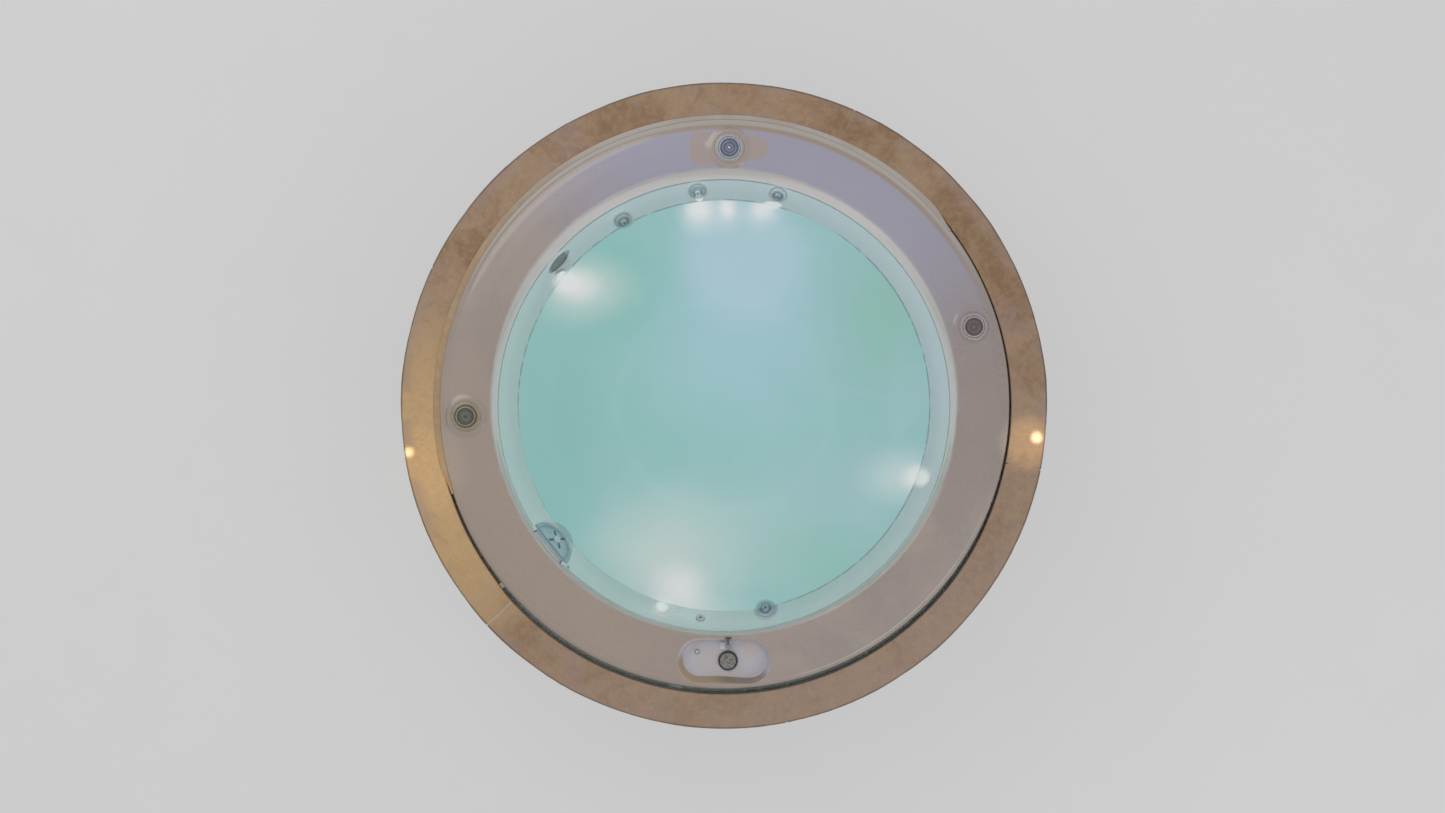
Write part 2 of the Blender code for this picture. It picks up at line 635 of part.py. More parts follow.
def make_wall_fittings(looks):
    grille_frame = on_band(GRILLE_ANGLE, GRILLE_RADIUS)
    lens = arc_points((0.0, -0.082), (0.100, 0.100), 56, 124, 8)
    lens += arc_points((0.0, 0.082), (0.100, 0.100), 236, 304, 8)
    grille = add("overflow_grille", prism(lens, 0.0028, 0.0070), looks["dark_plastic"], grille_frame)
    socket = (prism(stadium((0, 0), 0.084, 0.018), -0.026, 0.0040), Matrix())
    combine(grille, gather([socket]), "UNION")
    slots = []
    for i in range(-3, 4):
        slots.append((prism(rectangle(i * 0.011 - 0.003, i * 0.011 + 0.003, -0.006, 0.006),
                            -0.020, 0.012), Matrix()))
    combine(grille, gather(slots), "DIFFERENCE")

    inlet = [(INLET_BARREL, -0.026), (INLET_BARREL, 0.0012), (0.0160, 0.0012), (0.0160, 0.0032),
             (0.0130, 0.0050), (0.0045, 0.0050), (0.0045, -0.016)]
    frame = on_band(INLET_ANGLE, INLET_RADIUS)
    add("ozone_inlet", turned(inlet, 12), looks["white_plastic"], frame)

    drain = [(DRAIN_SPIGOT, -0.0090), (DRAIN_SPIGOT, CLEARANCE), (0.075, CLEARANCE),
             (0.075, 0.0060), (0.050, 0.0120)]
    add("drain_cover", turned(drain, 16), looks["white_plastic"],
        Matrix.Translation((0, 0, FLOOR_HEIGHT)))


# ---- Pipework ----


def jet_tail(jet, distance, side=0.0):
    """Point behind a jet's face, on its axis or beside it."""
    return jet_frame(*jet) @ Vector((side, 0.0, -distance))


def make_water_main(looks):
    """Water manifold from the right-hand rear jets round to the front jet, with its riser."""
    radius, height = WATER_MAIN
    route = [clock(angle, radius, height) for angle in range(326, 542, 8)]
    main = add("water_manifold", pipe(route, MAIN_PIPE), looks["pipe"])
    branches = []
    for jet in JETS:
        start = jet_tail(jet, 0.0853)
        straight = jet_tail(jet, 0.105)
        target = clock(jet[0], radius, height)
        branches.append((pipe([start, straight, target], JET_PIPE), Matrix()))
    heater_end = HEATER_ANGLE - math.degrees(HEATER_LENGTH / 2 / HEATER_RADIUS)
    mouth = facing(HEATER_ANGLE, HEATER_RADIUS, HEATER_AXIS) @ Vector((-HEATER_LENGTH / 2 - 0.0303, 0, 0))
    riser = smooth_route([
        mouth,
        facing(HEATER_ANGLE, HEATER_RADIUS, HEATER_AXIS) @ Vector((-HEATER_LENGTH / 2 - 0.075, 0, 0)),
        clock(heater_end - 9, HEATER_RADIUS + 0.040, HEATER_AXIS + 0.130),
        clock(heater_end - 9, radius - 0.010, height - 0.200),
        clock(heater_end - 9, radius, height),
    ])
    branches.append((pipe(riser, PUMP_PIPE), Matrix()))
    for branch in branches:
        combine(main, gather([branch]), "UNION")


def make_air_main(looks):
    """Air ring from the blower to the jets and the air controls."""
    radius, height = AIR_MAIN
    route = [clock(angle, radius, height) for angle in range(0, 360, 10)]
    sections = []
    for centre in route:
        outward = Vector((centre.x, centre.y, 0.0)).normalized()
        turns = [2 * math.pi * i / 8 for i in range(8)]
        sections.append([centre + AIR_PIPE * (math.cos(t) * outward + math.sin(t) * Vector((0, 0, 1)))
                         for t in turns])
    main = add("air_manifold", loft(sections, ring=True), looks["pipe"])
    branches = []
    for jet in JETS:
        port = jet_tail(jet, 0.050, JET_BARREL + 0.0005)
        beside = jet_tail(jet, 0.050, JET_BARREL + 0.038)
        branches.append(pipe([clock(jet[0] + 4.5, radius, height), beside, port], AIR_STUB, 6))
    for angle, place in AIR_CONTROLS:
        top = clock(angle, place, BOSS_TOP - 0.0953)
        bend = [top, clock(angle, place, top.z - 0.015), clock(angle, 0.900, 0.735),
                clock(angle, radius + 0.010, 0.670), clock(angle, radius, height)]
        branches.append(pipe(smooth_route(bend), AIR_HOSE))
    tower = clock(BLOWER_ANGLE, BLOWER_RADIUS, 0.3003)
    riser = [tower, tower + Vector((0, 0, 0.060)), clock(BLOWER_ANGLE, radius - 0.006, 0.500),
             clock(BLOWER_ANGLE, radius, height)]
    branches.append(pipe(smooth_route(riser), AIR_RISER))
    for branch in branches:
        combine(main, branch, "UNION")


def make_plant(looks):
    """Pump, heater, blower and the pipes between them, all standing on the base pan."""
    base = PAN_THICKNESS + CLEARANCE
    pump = facing(PUMP_ANGLE, PUMP_RADIUS, PUMP_AXIS) @ Matrix.Rotation(math.radians(90), 4, "Y")
    wet_end = [(0.030, 0.1950), (0.030, 0.1700), (0.085, 0.1650), (0.090, 0.1550), (0.090, 0.1150),
               (0.075, 0.1000), (0.060, 0.0903)]
    casing = add("pump_wet_end", turned(wet_end, 16), looks["dark_plastic"], pump)
    volute = pipe([Vector((0, 0, 0.135)), Vector((-0.125, 0, 0.135))], 0.026, 12)
    combine(casing, volute, "UNION")
    motor = [(0.060, 0.0900), (0.072, 0.0780), (0.072, -0.1300), (0.066, -0.1500), (0.050, -0.1600)]
    drive = add("pump_motor", turned(motor, 16), looks["motor"], pump)
    depth = PUMP_AXIS - base
    saddle = prism(rectangle(0.040, depth, -0.065, 0.065), -0.110, 0.050)
    combine(drive, saddle, "UNION")

    heater = facing(HEATER_ANGLE, HEATER_RADIUS, HEATER_AXIS) @ Matrix.Rotation(math.radians(90), 4, "Y")
    half = HEATER_LENGTH / 2
    tube = [(0.022, -half - 0.030), (0.030, -half - 0.028), (0.030, -half), (0.042, -half + 0.004),
            (0.042, half - 0.004), (0.030, half), (0.030, half + 0.028), (0.022, half + 0.030)]
    warmer = add("heater", turned(tube), looks["steel"], heater)
    depth = HEATER_AXIS - base
    combine(warmer, prism(rectangle(0.020, depth, -0.030, 0.030), -0.120, 0.120), "UNION")

    blower = [(0.095, base), (0.095, base + 0.030), (0.088, base + 0.040), (0.088, base + 0.170),
              (0.070, base + 0.215), (0.030, base + 0.235), (0.022, base + 0.240), (0.022, 0.300)]
    add("blower", turned(blower, 16), looks["dark_plastic"], facing(BLOWER_ANGLE, BLOWER_RADIUS, 0.0))

    skimmer = on_band(SKIMMER_ANGLE, SKIMMER_RADIUS)
    port = pump @ Vector((0, 0, 0.1953))
    suction = smooth_route([
        skimmer @ Vector((0, -0.010, -0.0753)),
        skimmer @ Vector((0, -0.010, -0.110)),
        clock(232.5, 0.935, 0.600),
        clock(233.0, 0.925, 0.350),
        clock(231.0, 0.870, 0.185),
        pump @ Vector((0, 0, 0.240)),
        port,
    ])
    add("suction_pipe", pipe(suction, MAIN_PIPE), looks["pipe"])

    top = pump @ Vector((-0.1253, 0, 0.135))
    inlet = heater @ Vector((0, 0, half + 0.0303))
    discharge = smooth_route([
        top,
        top + Vector((0, 0, 0.045)),
        clock(209.0, 0.810, 0.372),
        clock(196.0, 0.850, 0.372),
        clock(186.0, 0.868, 0.280),
        heater @ Vector((0, 0, half + 0.062)),
        inlet,
    ])
    add("discharge_pipe", pipe(discharge, PUMP_PIPE), looks["pipe"])


def main():
    clear_scene()
    looks = {name: material(name, *values) for name, values in LOOKS.items()}
    make_shell(looks["acrylic"])
    bearer_low = make_coping(looks)
    make_edge_seal(looks["seal"])
    make_stand(looks, bearer_low)
    make_jets(looks)
    make_lamps(looks["lamp"])
    make_air_controls(looks)
    make_pocket_fittings(looks)
    make_skimmer(looks)
    make_wall_fittings(looks)
    make_water_main(looks)
    make_air_main(looks)
    make_plant(looks)


main()
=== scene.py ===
"""Looks of the round built-in hot tub: the moulded tub with its water, jets, lamps and controls, the
stone coping round it and the plant under it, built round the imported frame.

Metres, +Z up. Clock angles are degrees clockwise as seen from above, with 0 at the back (+Y).
"""

import json
from math import acos, atan2, ceil, cos, degrees, hypot, pi, radians, sin, sqrt, tan

import bmesh
import bpy
from mathutils import Matrix, Vector, noise


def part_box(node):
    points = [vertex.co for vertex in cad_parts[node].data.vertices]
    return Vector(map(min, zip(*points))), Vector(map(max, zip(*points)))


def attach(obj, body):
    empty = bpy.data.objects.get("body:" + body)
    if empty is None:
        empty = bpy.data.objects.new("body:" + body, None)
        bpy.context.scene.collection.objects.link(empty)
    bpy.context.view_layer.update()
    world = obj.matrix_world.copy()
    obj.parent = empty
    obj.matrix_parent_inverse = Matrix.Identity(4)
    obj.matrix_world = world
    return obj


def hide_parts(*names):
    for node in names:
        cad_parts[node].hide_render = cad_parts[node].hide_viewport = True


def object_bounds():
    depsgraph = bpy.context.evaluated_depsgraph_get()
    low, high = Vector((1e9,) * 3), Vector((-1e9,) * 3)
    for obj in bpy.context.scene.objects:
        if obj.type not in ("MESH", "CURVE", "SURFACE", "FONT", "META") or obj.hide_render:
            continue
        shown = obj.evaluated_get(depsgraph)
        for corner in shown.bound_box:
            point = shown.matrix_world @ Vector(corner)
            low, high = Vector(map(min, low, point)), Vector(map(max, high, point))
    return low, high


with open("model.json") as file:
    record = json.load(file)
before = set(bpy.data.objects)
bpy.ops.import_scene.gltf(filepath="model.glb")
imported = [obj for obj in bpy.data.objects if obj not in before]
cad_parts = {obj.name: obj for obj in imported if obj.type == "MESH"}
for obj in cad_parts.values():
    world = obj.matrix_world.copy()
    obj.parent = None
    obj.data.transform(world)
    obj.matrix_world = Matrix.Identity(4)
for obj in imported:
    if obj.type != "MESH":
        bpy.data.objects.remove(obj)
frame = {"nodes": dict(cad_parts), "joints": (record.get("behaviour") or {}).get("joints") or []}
CAD_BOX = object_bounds()

ROOT = "spa"
JOINTS = {joint["child"]: joint for joint in frame["joints"]}

# ---- The tub's section and places, as the frame has them ----

SHELL_THICKNESS = 0.009
RIM_SPACING, WALL_SPACING, DEEP_SPACING = 0.0038, 0.006, 0.016
POCKET_COLUMNS = (180, 13, 0.25)  # clock angle, reach on each side and step, in degrees
CONTROL_COLUMNS = (6, 0.5)  # reach and step, in degrees
COLUMN_STEP = 1.5
RIM_OUTER = 1.0725
EDGE_FOOT = 0.874
EDGE_SHIFT = 0.008
BEAD_RADIUS = 0.0095
CREST_RADIUS, CREST_HEIGHT, CREST_SHIFT = 0.965, 0.8995, 0.01
CREASE_RADIUS, CREASE_HEIGHT, CREASE_SHIFT = 0.877, 0.891, 0.017
WATER_RADIUS, WATER_LEVEL = 0.855, 0.852
WATER_RINGS, WATER_COLUMNS, WATER_SHEET = 24, 240, 0.0012
SLOPE_FOOT = (0.785, 0.772)
LAMP_BAND_TOP, LAMP_BAND_FOOT = (0.7815, 0.764), (0.735, 0.655)
BENCH_OUTER, BENCH_HEIGHT = 0.7, 0.465
FOOTWELL_RADIUS = 0.405
FLOOR_RADIUS, FLOOR_HEIGHT = 0.345, 0.04
STONE_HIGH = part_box("coping_stone_1")[1].z
COPING_OUTER = CAD_BOX[1][0]
COPING_INNER = 1.084
COPING_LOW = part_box("coping_stone_1")[0].z
STONE_EASE, STONE_STEP = 0.0075, 0.45  # edge radius, and degrees between sections
COPING_JOINTS = (23.9, 101.5, 168.8, 227.2, 295.3)
GROUT_HALF = 0.1  # half of a joint's width, in degrees
PALE_JOINT = 4  # the only joint with fresh, pale grout
SEAL_SPAN, SEAL_STEPS = (252, 412.5), 320
BOSS_TOP = JOINTS["air_control_knob_1"]["pos_m"][2]
BOSS_RADIUS = 0.075
POCKET_CENTRE = Vector((0, -0.96))
POCKET_LENGTH, POCKET_WIDTH, POCKET_FLOOR = 0.34, 0.156, 0.858
POCKET_WALL = 0.008
SKIMMER_HINGE = (0, 0.0415, -0.003)  # in the skimmer panel's frame
SKIMMER_SLOTS = (62, 152, 242, 332)
PAN_TOP = 0.0303
PLANT_AXIS = 0.15  # height of the pump's and the heater's axis
PUMP_CLOCK, PUMP_RADIUS = 206, 0.8
SCREW_CIRCLE = 0.0955
HEATER_CLOCK, HEATER_RADIUS = 168, 0.86
BLOWER_CLOCK, BLOWER_RADIUS = 60, 0.8
CAMERA_PLACE = (-0.0055, -0.0034, STONE_HIGH + 7.53)
WARM_LAMP_RISE = 1.2
PALE, GOLDEN = (1, 0.86, 0.58), (1, 0.8, 0.44)
WARM_LAMPS = (
    # name, clock angle, radius, power, spread in degrees, colour, seen in the stone's gloss
    ("warm_left", 261.6, 1.196, 150, 2.2, PALE, True),
    ("warm_left_wash", 258, 1.16, 13, 20, GOLDEN, False),
    ("warm_right", 95.8, 1.18, 260, 2.6, PALE, True),
    ("warm_right_wash", 97, 1.15, 50, 12, GOLDEN, False),
)

# ---- Places ----


def clock(angle, radius, height=0):
    """Point at a clock angle and radius."""
    turn = radians(angle)
    return Vector((radius * sin(turn), radius * cos(turn), height))


def clock_angle(point):
    """Clock angle of a point."""
    return degrees(atan2(point[0], point[1])) % 360


def at(x, y, z=0):
    return Matrix.Translation((x, y, z))


def on(place, x, y, z):
    """Point given in a frame."""
    return place @ Vector((x, y, z))


def about(axis, angle):
    return Matrix.Rotation(radians(angle), 4, axis)


def frame_from(origin, across, normal):
    """Frame with X along across and Z along normal."""
    x, z = Vector(across).normalized(), Vector(normal).normalized()
    made = Matrix((x, z.cross(x), z)).transposed().to_4x4()
    made.translation = Vector(origin)
    return made


def facing(angle, radius, height, slope=0):
    """Frame at a clock angle: X runs clockwise, Y outward and up the slope, Z out of the surface."""
    return Matrix.Translation(clock(angle, radius, height)) @ about("Z", -angle) @ about("X", slope)


def frame_on(node, slope, top):
    """Frame on a fitting of the wall whose outermost point stands top above the frame."""
    corners = {tuple(round(value, 5) for value in vertex.co) for vertex in frame["nodes"][node].data.vertices}
    points = [Vector(corner) for corner in sorted(corners)]
    middle = sum(points, Vector()) / len(points)
    made = facing(clock_angle(middle), 0, 0, slope)
    normal = made.col[2].to_3d()
    reach = max((point - middle).dot(normal) for point in points)
    made.translation = middle + normal * (reach - top)
    return made


def jet_frame(number):
    joint = JOINTS[f"jet_face_{number}"]
    return frame_from(joint["pos_m"], JOINTS[f"jet_nozzle_{number}"]["axis"], joint["axis"])


def skimmer_frame():
    joint = JOINTS["skimmer_flap"]
    normal = facing(clock_angle(joint["pos_m"]), 0, 0, BAND_SLOPE).col[2].to_3d()
    return frame_from(joint["pos_m"], joint["axis"], normal) @ at(*(-value for value in SKIMMER_HINGE))


def control_frame(number):
    place = JOINTS[f"air_control_knob_{number}"]["pos_m"]
    return facing(clock_angle(place), hypot(place[0], place[1]), place[2])


def on_pocket_floor(node):
    """Frame on the pocket's floor under the middle of a node."""
    low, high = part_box(node)
    return at((low.x + high.x) / 2, (low.y + high.y) / 2, POCKET_FLOOR)


BAND_SLOPE = degrees(acos(JOINTS["jet_face_1"]["axis"][2]))
LAMP_SLOPE = degrees(atan2(LAMP_BAND_TOP[1] - LAMP_BAND_FOOT[1], LAMP_BAND_TOP[0] - LAMP_BAND_FOOT[0]))
LAMP_COUNT, LOW_LAMPS = 6, 3  # the first lamps stand on the steeper band below the jets
LAMP_RISE, GRILLE_RISE, INLET_RISE = 0.012, 0.007, 0.005
CONTROLS = [control_frame(number) for number in (1, 2, 3)]
JET_FRAMES = [jet_frame(number) for number in (1, 2, 3, 4)]
LAMP_FRAMES = [frame_on(f"lamp_{number}", LAMP_SLOPE if number <= LOW_LAMPS else BAND_SLOPE, LAMP_RISE)
               for number in range(1, LAMP_COUNT + 1)]
FRONT_JET = JET_FRAMES[3]
SKIMMER = skimmer_frame()
JET_HOLE, LAMP_HOLE, CONTROL_HOLE = 0.028, 0.0225, 0.0265
INLET_HOLE, BUTTON_HOLE, LEVER_HOLE = 0.013, 0.02, 0.012
THROAT = ((-0.078, 0.0378, -0.04), (0.078, 0.0655, 0.012))
GRILLE = frame_on("overflow_grille", BAND_SLOPE, GRILLE_RISE)
INLET = frame_on("ozone_inlet", BAND_SLOPE, INLET_RISE)
BUTTON = at(0.015, -0.9615, POCKET_FLOOR)
LEVER = at(*JOINTS["diverter_lever"]["pos_m"][:2], POCKET_FLOOR)
SENSOR = on_pocket_floor("temperature_sensor")
PUMP = facing(PUMP_CLOCK, PUMP_RADIUS, PLANT_AXIS) @ about("Y", 90)
HEATER = facing(HEATER_CLOCK, HEATER_RADIUS, PLANT_AXIS)

# ---- Meshes ----


def mm(points):
    """Points written in millimetres, with commas between them."""
    return [tuple(float(value) / 1000 for value in point.split()) for point in points.split(",")]


def skin(rows, ring=False):
    """Closed mesh through rows of equal point count, capped at both ends or joined in a ring."""
    count = len(rows[0])
    faces = []
    pairs = [(i, i + 1) for i in range(len(rows) - 1)]
    if ring:
        pairs.append((len(rows) - 1, 0))
    for low, high in pairs:
        for i in range(count):
            j = (i + 1) % count
            faces.append((low * count + i, low * count + j, high * count + j, high * count + i))
    if not ring:
        faces.append(tuple(reversed(range(count))))
        faces.append(tuple(range((len(rows) - 1) * count, len(rows) * count)))
    mesh = bpy.data.meshes.new("skin")
    mesh.from_pydata([point for row in rows for point in row], [], faces)
    bm = bmesh.new()
    bm.from_mesh(mesh)
    bmesh.ops.recalc_face_normals(bm, faces=bm.faces)
    bm.to_mesh(mesh)
    bm.free()
    return mesh


def eased(outline, radius, steps=3, ring=False):
    """Outline with its corners rounded; an open outline keeps its ends."""
    points = [Vector(point) for point in outline]
    count = len(points)
    made = []
    for i, here in enumerate(points):
        if not ring and i in (0, count - 1):
            made.append(here)
            continue
        before, after = points[i - 1], points[(i + 1) % count]
        back, ahead = before - here, after - here
        reach = min(radius, back.length * 0.45, ahead.length * 0.45)
        start, stop = here + back.normalized() * reach, here + ahead.normalized() * reach
        for step in range(steps + 1):
            t = step / steps
            made.append(start.lerp(here, t).lerp(here.lerp(stop, t), t))
    return made


def turned(outline, place=Matrix(), steps=48, ring=False, soft=0.0008, waves=0, depth=0, beyond=0):
    """Turned body from (radius, height) points, its corners eased, its rim waved past a radius."""
    rows = []
    for radius, height in eased(outline, soft, ring=ring) if soft else outline:
        row = []
        for i in range(steps):
            t = 2 * pi * i / steps
            wide = radius + (depth * cos(waves * t) if radius > beyond else 0)
            row.append(place @ Vector((wide * sin(t), wide * cos(t), height)))
        rows.append(row)
    return skin(rows, ring)


def prism(outline, low, high, place=Matrix()):
    return skin([[on(place, x, y, z) for x, y in outline] for z in (low, high)])


def rectangle(left, right, near, far):
    return [(left, near), (right, near), (right, far), (left, far)]


def arc_points(centre, radii, start, stop, steps):
    """Points of an elliptical arc, counterclockwise from start to stop degrees."""
    turns = [radians(start + (stop - start) * i / steps) for i in range(steps + 1)]
    return [(centre[0] + radii[0] * cos(t), centre[1] + radii[1] * sin(t)) for t in turns]


def stadium(length, width, steps=12):
    """Outline with two straight sides along X and round ends."""
    end = width / 2
    reach = length / 2 - end
    return arc_points((reach, 0), (end, end), -90, 90, steps) + arc_points((-reach, 0), (end, end), 90, 270, steps)


def box_between(low, high, place=Matrix()):
    return prism(rectangle(low[0], high[0], low[1], high[1]), low[2], high[2], place)


def boxes_round(place, turns, low, high):
    """The same box at each turn, in degrees, about a frame's Z axis."""
    return [box_between(low, high, place @ about("Z", turn)) for turn in turns]


def joined(meshes):
    """One mesh from several closed ones."""
    bm = bmesh.new()
    for mesh in meshes:
        bm.from_mesh(mesh)
        bpy.data.meshes.remove(mesh)
    made = bpy.data.meshes.new("joined")
    bm.to_mesh(made)
    bm.free()
    return made


def smooth(value):
    """From 0 to 1 with level ends."""
    value = min(1, max(0, value))
    return value * value * (3 - 2 * value)


# ---- Pieces ----


def add(name, data):
    """An object in the scene."""
    made = bpy.data.objects.new(name, data)
    bpy.context.scene.collection.objects.link(made)
    return made


def show(name, mesh, looks, slot, replaces="", body=ROOT, sharp=38, bevel=0, cut=(), join=()):
    """A visible piece in the frame's own coordinates, riding on a body; closed bodies are cut out or joined on."""
    mesh.name = name
    for look in looks.split():
        mesh.materials.append(LOOKS[look])
    mesh.shade_smooth()
    mesh.set_sharp_from_angle(angle=radians(sharp))
    made = add(name, mesh)
    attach(made, body)
    if replaces:
        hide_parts(replaces)
    if bevel:
        edge = made.modifiers.new("Bevel", "BEVEL")
        edge.width = bevel
        edge.segments = 3
        edge.limit_method = "ANGLE"
        edge.angle_limit = radians(40)
    if cut:
        combine(made, joined(cut), "DIFFERENCE")
    for mesh in join:
        combine(made, mesh, "UNION")


def lathe(name, profile, place, steps, soft, *rest, ring=False, **options):
    """A visible piece turned from a profile in millimetres."""
    show(name, turned(mm(profile), place, steps, ring, soft), *rest, **options)


def combine(piece, mesh, operation):
    """Cuts a mesh out of a piece, or joins it on, and keeps the result as the piece's mesh."""
    tool = add("tool", mesh)
    step = piece.modifiers.new("Combine", "BOOLEAN")
    step.object = tool
    step.operation = operation
    step.solver = "MANIFOLD"
    others = [other for other in piece.modifiers if other != step]
    for other in others:
        other.show_viewport = False
    bpy.context.view_layer.update()
    result = bpy.data.meshes.new_from_object(piece.evaluated_get(bpy.context.evaluated_depsgraph_get()))
    piece.modifiers.remove(step)
    for other in others:
        other.show_viewport = True
    result.name = piece.name
    piece.data = result
    bpy.data.objects.remove(tool)


# ---- Materials ----


def rgb(code):
    """Linear colour from a six-digit sRGB code."""
    values = [int(code[i : i + 2], 16) / 255 for i in (0, 2, 4)]
    return tuple(v / 12.92 if v <= 0.04045 else ((v + 0.055) / 1.055) ** 2.4 for v in values)


class Look:
    """A material being built: its Principled shader, and short ways to add nodes that feed it."""

    def __init__(self, name, colour, roughness, metallic=0, coat=0, coat_roughness=0.08):
        self.made = bpy.data.materials.new(name)
        self.made.use_nodes = True
        self.tree = self.made.node_tree
        self.shader = self.tree.nodes["Principled BSDF"]
        self.set("Base Color", colour)
        self.set("Roughness", roughness)
        self.set("Metallic", metallic)
        self.set("Coat Weight", coat)
        self.set("Coat Roughness", coat_roughness)
        self.colour = colour
        self.place = self.node("ShaderNodeTexCoord").outputs["Object"]

    def feed(self, socket, value):
        if isinstance(value, bpy.types.NodeSocket):
            self.tree.links.new(value, socket)
        else:
            socket.default_value = (*rgb(value), 1) if isinstance(value, str) else value

    def set(self, name, value):
        self.feed(self.shader.inputs[name], value)

    def node(self, kind, inputs=None, **attributes):
        made = self.tree.nodes.new(kind)
        for name, value in attributes.items():
            setattr(made, name, value)
        for key, value in (inputs or {}).items():
            self.feed(made.inputs[key], value)
        return made

    def vector(self, operation, a, b=(0, 0, 0)):
        made = self.node("ShaderNodeVectorMath", {0: a, 1: b}, operation=operation)
        return made.outputs["Value" if operation in ("LENGTH", "DOT_PRODUCT") else "Vector"]

    def maths(self, operation, a, b=0, c=0, clamp=False):
        return self.node("ShaderNodeMath", {0: a, 1: b, 2: c}, operation=operation, use_clamp=clamp).outputs[0]

    def times(self, mask, *others):
        for other in others:
            mask = self.maths("MULTIPLY", mask, other, clamp=True)
        return mask

    def larger(self, a, b):
        return self.maths("MAXIMUM", a, b, clamp=True)

    def noise(self, scale, detail=4, roughness=0.55, distortion=0, stretch=None):
        place = self.vector("MULTIPLY", self.place, stretch) if stretch else self.place
        inputs = {"Vector": place, "Scale": scale, "Detail": detail, "Roughness": roughness, "Distortion": distortion}
        return self.node("ShaderNodeTexNoise", inputs).outputs["Fac"]

    def part(self, name, vector=None):
        return self.node("ShaderNodeSeparateXYZ", {0: vector if vector else self.place}).outputs[name]

    def radius(self):
        return self.vector("LENGTH", self.vector("MULTIPLY", self.place, (1, 1, 0)))

    def fade(self, value, zero, one):
        """0 where value is at zero, 1 where it is at one, with a smooth change between."""
        low, high, start, stop = (zero, one, 0, 1) if zero < one else (one, zero, 1, 0)
        inputs = {"Value": value, "From Min": low, "From Max": high, "To Min": start, "To Max": stop}
        return self.node("ShaderNodeMapRange", inputs, interpolation_type="SMOOTHSTEP").outputs["Result"]

    def between(self, value, zero, one, fall, end):
        """1 between one and fall, fading to 0 at zero and at end."""
        return self.times(self.fade(value, zero, one), self.fade(value, end, fall))

    def reach(self, zero, one):
        return self.fade(self.radius(), zero, one)

    def veil(self, zero, one, *noise_values):
        return self.fade(self.noise(*noise_values), zero, one)

    def towards(self, angle, zero, one):
        """Fade by direction on the plan: the value is 1 at a clock angle, 0 a quarter turn away, -1 opposite."""
        level = self.vector("NORMALIZE", self.vector("MULTIPLY", self.place, (1, 1, 0)))
        return self.fade(self.vector("DOT_PRODUCT", level, tuple(clock(angle, 1))), zero, one)

    def patch(self, x, y, across, deep, inner=0, wobble=0, scale=9):
        """1 inside an ellipse on the plan, fading to 0 at its edge."""
        offset = self.vector("SUBTRACT", self.place, (x, y, 0))
        distance = self.vector("LENGTH", self.vector("MULTIPLY", offset, (1 / across, 1 / deep, 0)))
        if wobble:
            shake = self.maths("MULTIPLY", self.maths("ADD", self.noise(scale, 3), -0.5), wobble)
            distance = self.maths("ADD", distance, shake)
        return self.fade(distance, 1, inner)

    def blend(self, factor, a, b):
        """Colour a where factor is 0 and b where it is 1."""
        return self.node("ShaderNodeMix", {0: factor, 6: a, 7: b}, data_type="RGBA").outputs[2]

    def over(self, base, tint, *masks):
        """Base with a tint laid over it where the masks are 1."""
        return self.blend(self.times(*masks), base, tint)

    def lay(self, tint, *masks):
        """Lays a tint over the look's colour where the masks are 1."""
        self.colour = self.over(self.colour, tint, *masks)

    def grain(self, other, scale, amount=1, detail=3):
        """Lays another colour over the look's own by fine noise."""
        self.lay(other, self.veil(0.4, 0.64, scale, detail), amount)

    def vary(self, name, value, low, high):
        """Feeds a shader input with a value spread between two limits."""
        self.set(name, self.node("ShaderNodeMapRange", {"Value": value, "To Min": low, "To Max": high}).outputs[0])

    def done(self, relief, strength, distance):
        """The material, with its colour and its bump from a relief."""
        self.set("Base Color", self.colour)
        made = self.node("ShaderNodeBump", {"Height": relief, "Strength": strength, "Distance": distance})
        self.set("Normal", made.outputs["Normal"])
        return self.made


def stone_look():
    look = Look("sandstone", "8f775f", 0.6)
    look.colour = look.blend(look.veil(0.36, 0.62, 4.2, 7, 0.62, 0.7), "7b5d40", "937960")
    look.lay("8d7875", look.veil(0.5, 0.66, 2.3, 5, 0.6, 0.5), 0.65)
    look.lay("8d7a6c", look.towards(150, 0.1, 0.9), 0.55)
    # Golden on the left: painted warm lamplight, partly the stone's own golden tone.
    look.lay("bd9c6c", look.towards(256, 0.8, 0.99), 0.85)
    look.lay("6d5340", look.veil(0.52, 0.7, 11, 8, 0.7, 1.6), 0.3)
    look.lay("8f7a70", look.reach(1.15, 1.2), look.veil(0.42, 0.6, 6), 0.6)
    look.grain("a1876b", 46, 0.3, 6)
    look.grain("5f4a38", 330, 0.28, 2)
    # Darker band on the rounded outer edge: painted shade.
    look.lay("4c4038", look.reach(1.2035, 1.2115), 0.75)
    look.vary("Roughness", look.noise(30), 0.42, 0.72)
    rough = look.maths("ADD", look.noise(240, 5, 0.7), look.noise(18))
    return look.done(rough, 0.35, 0.0012)


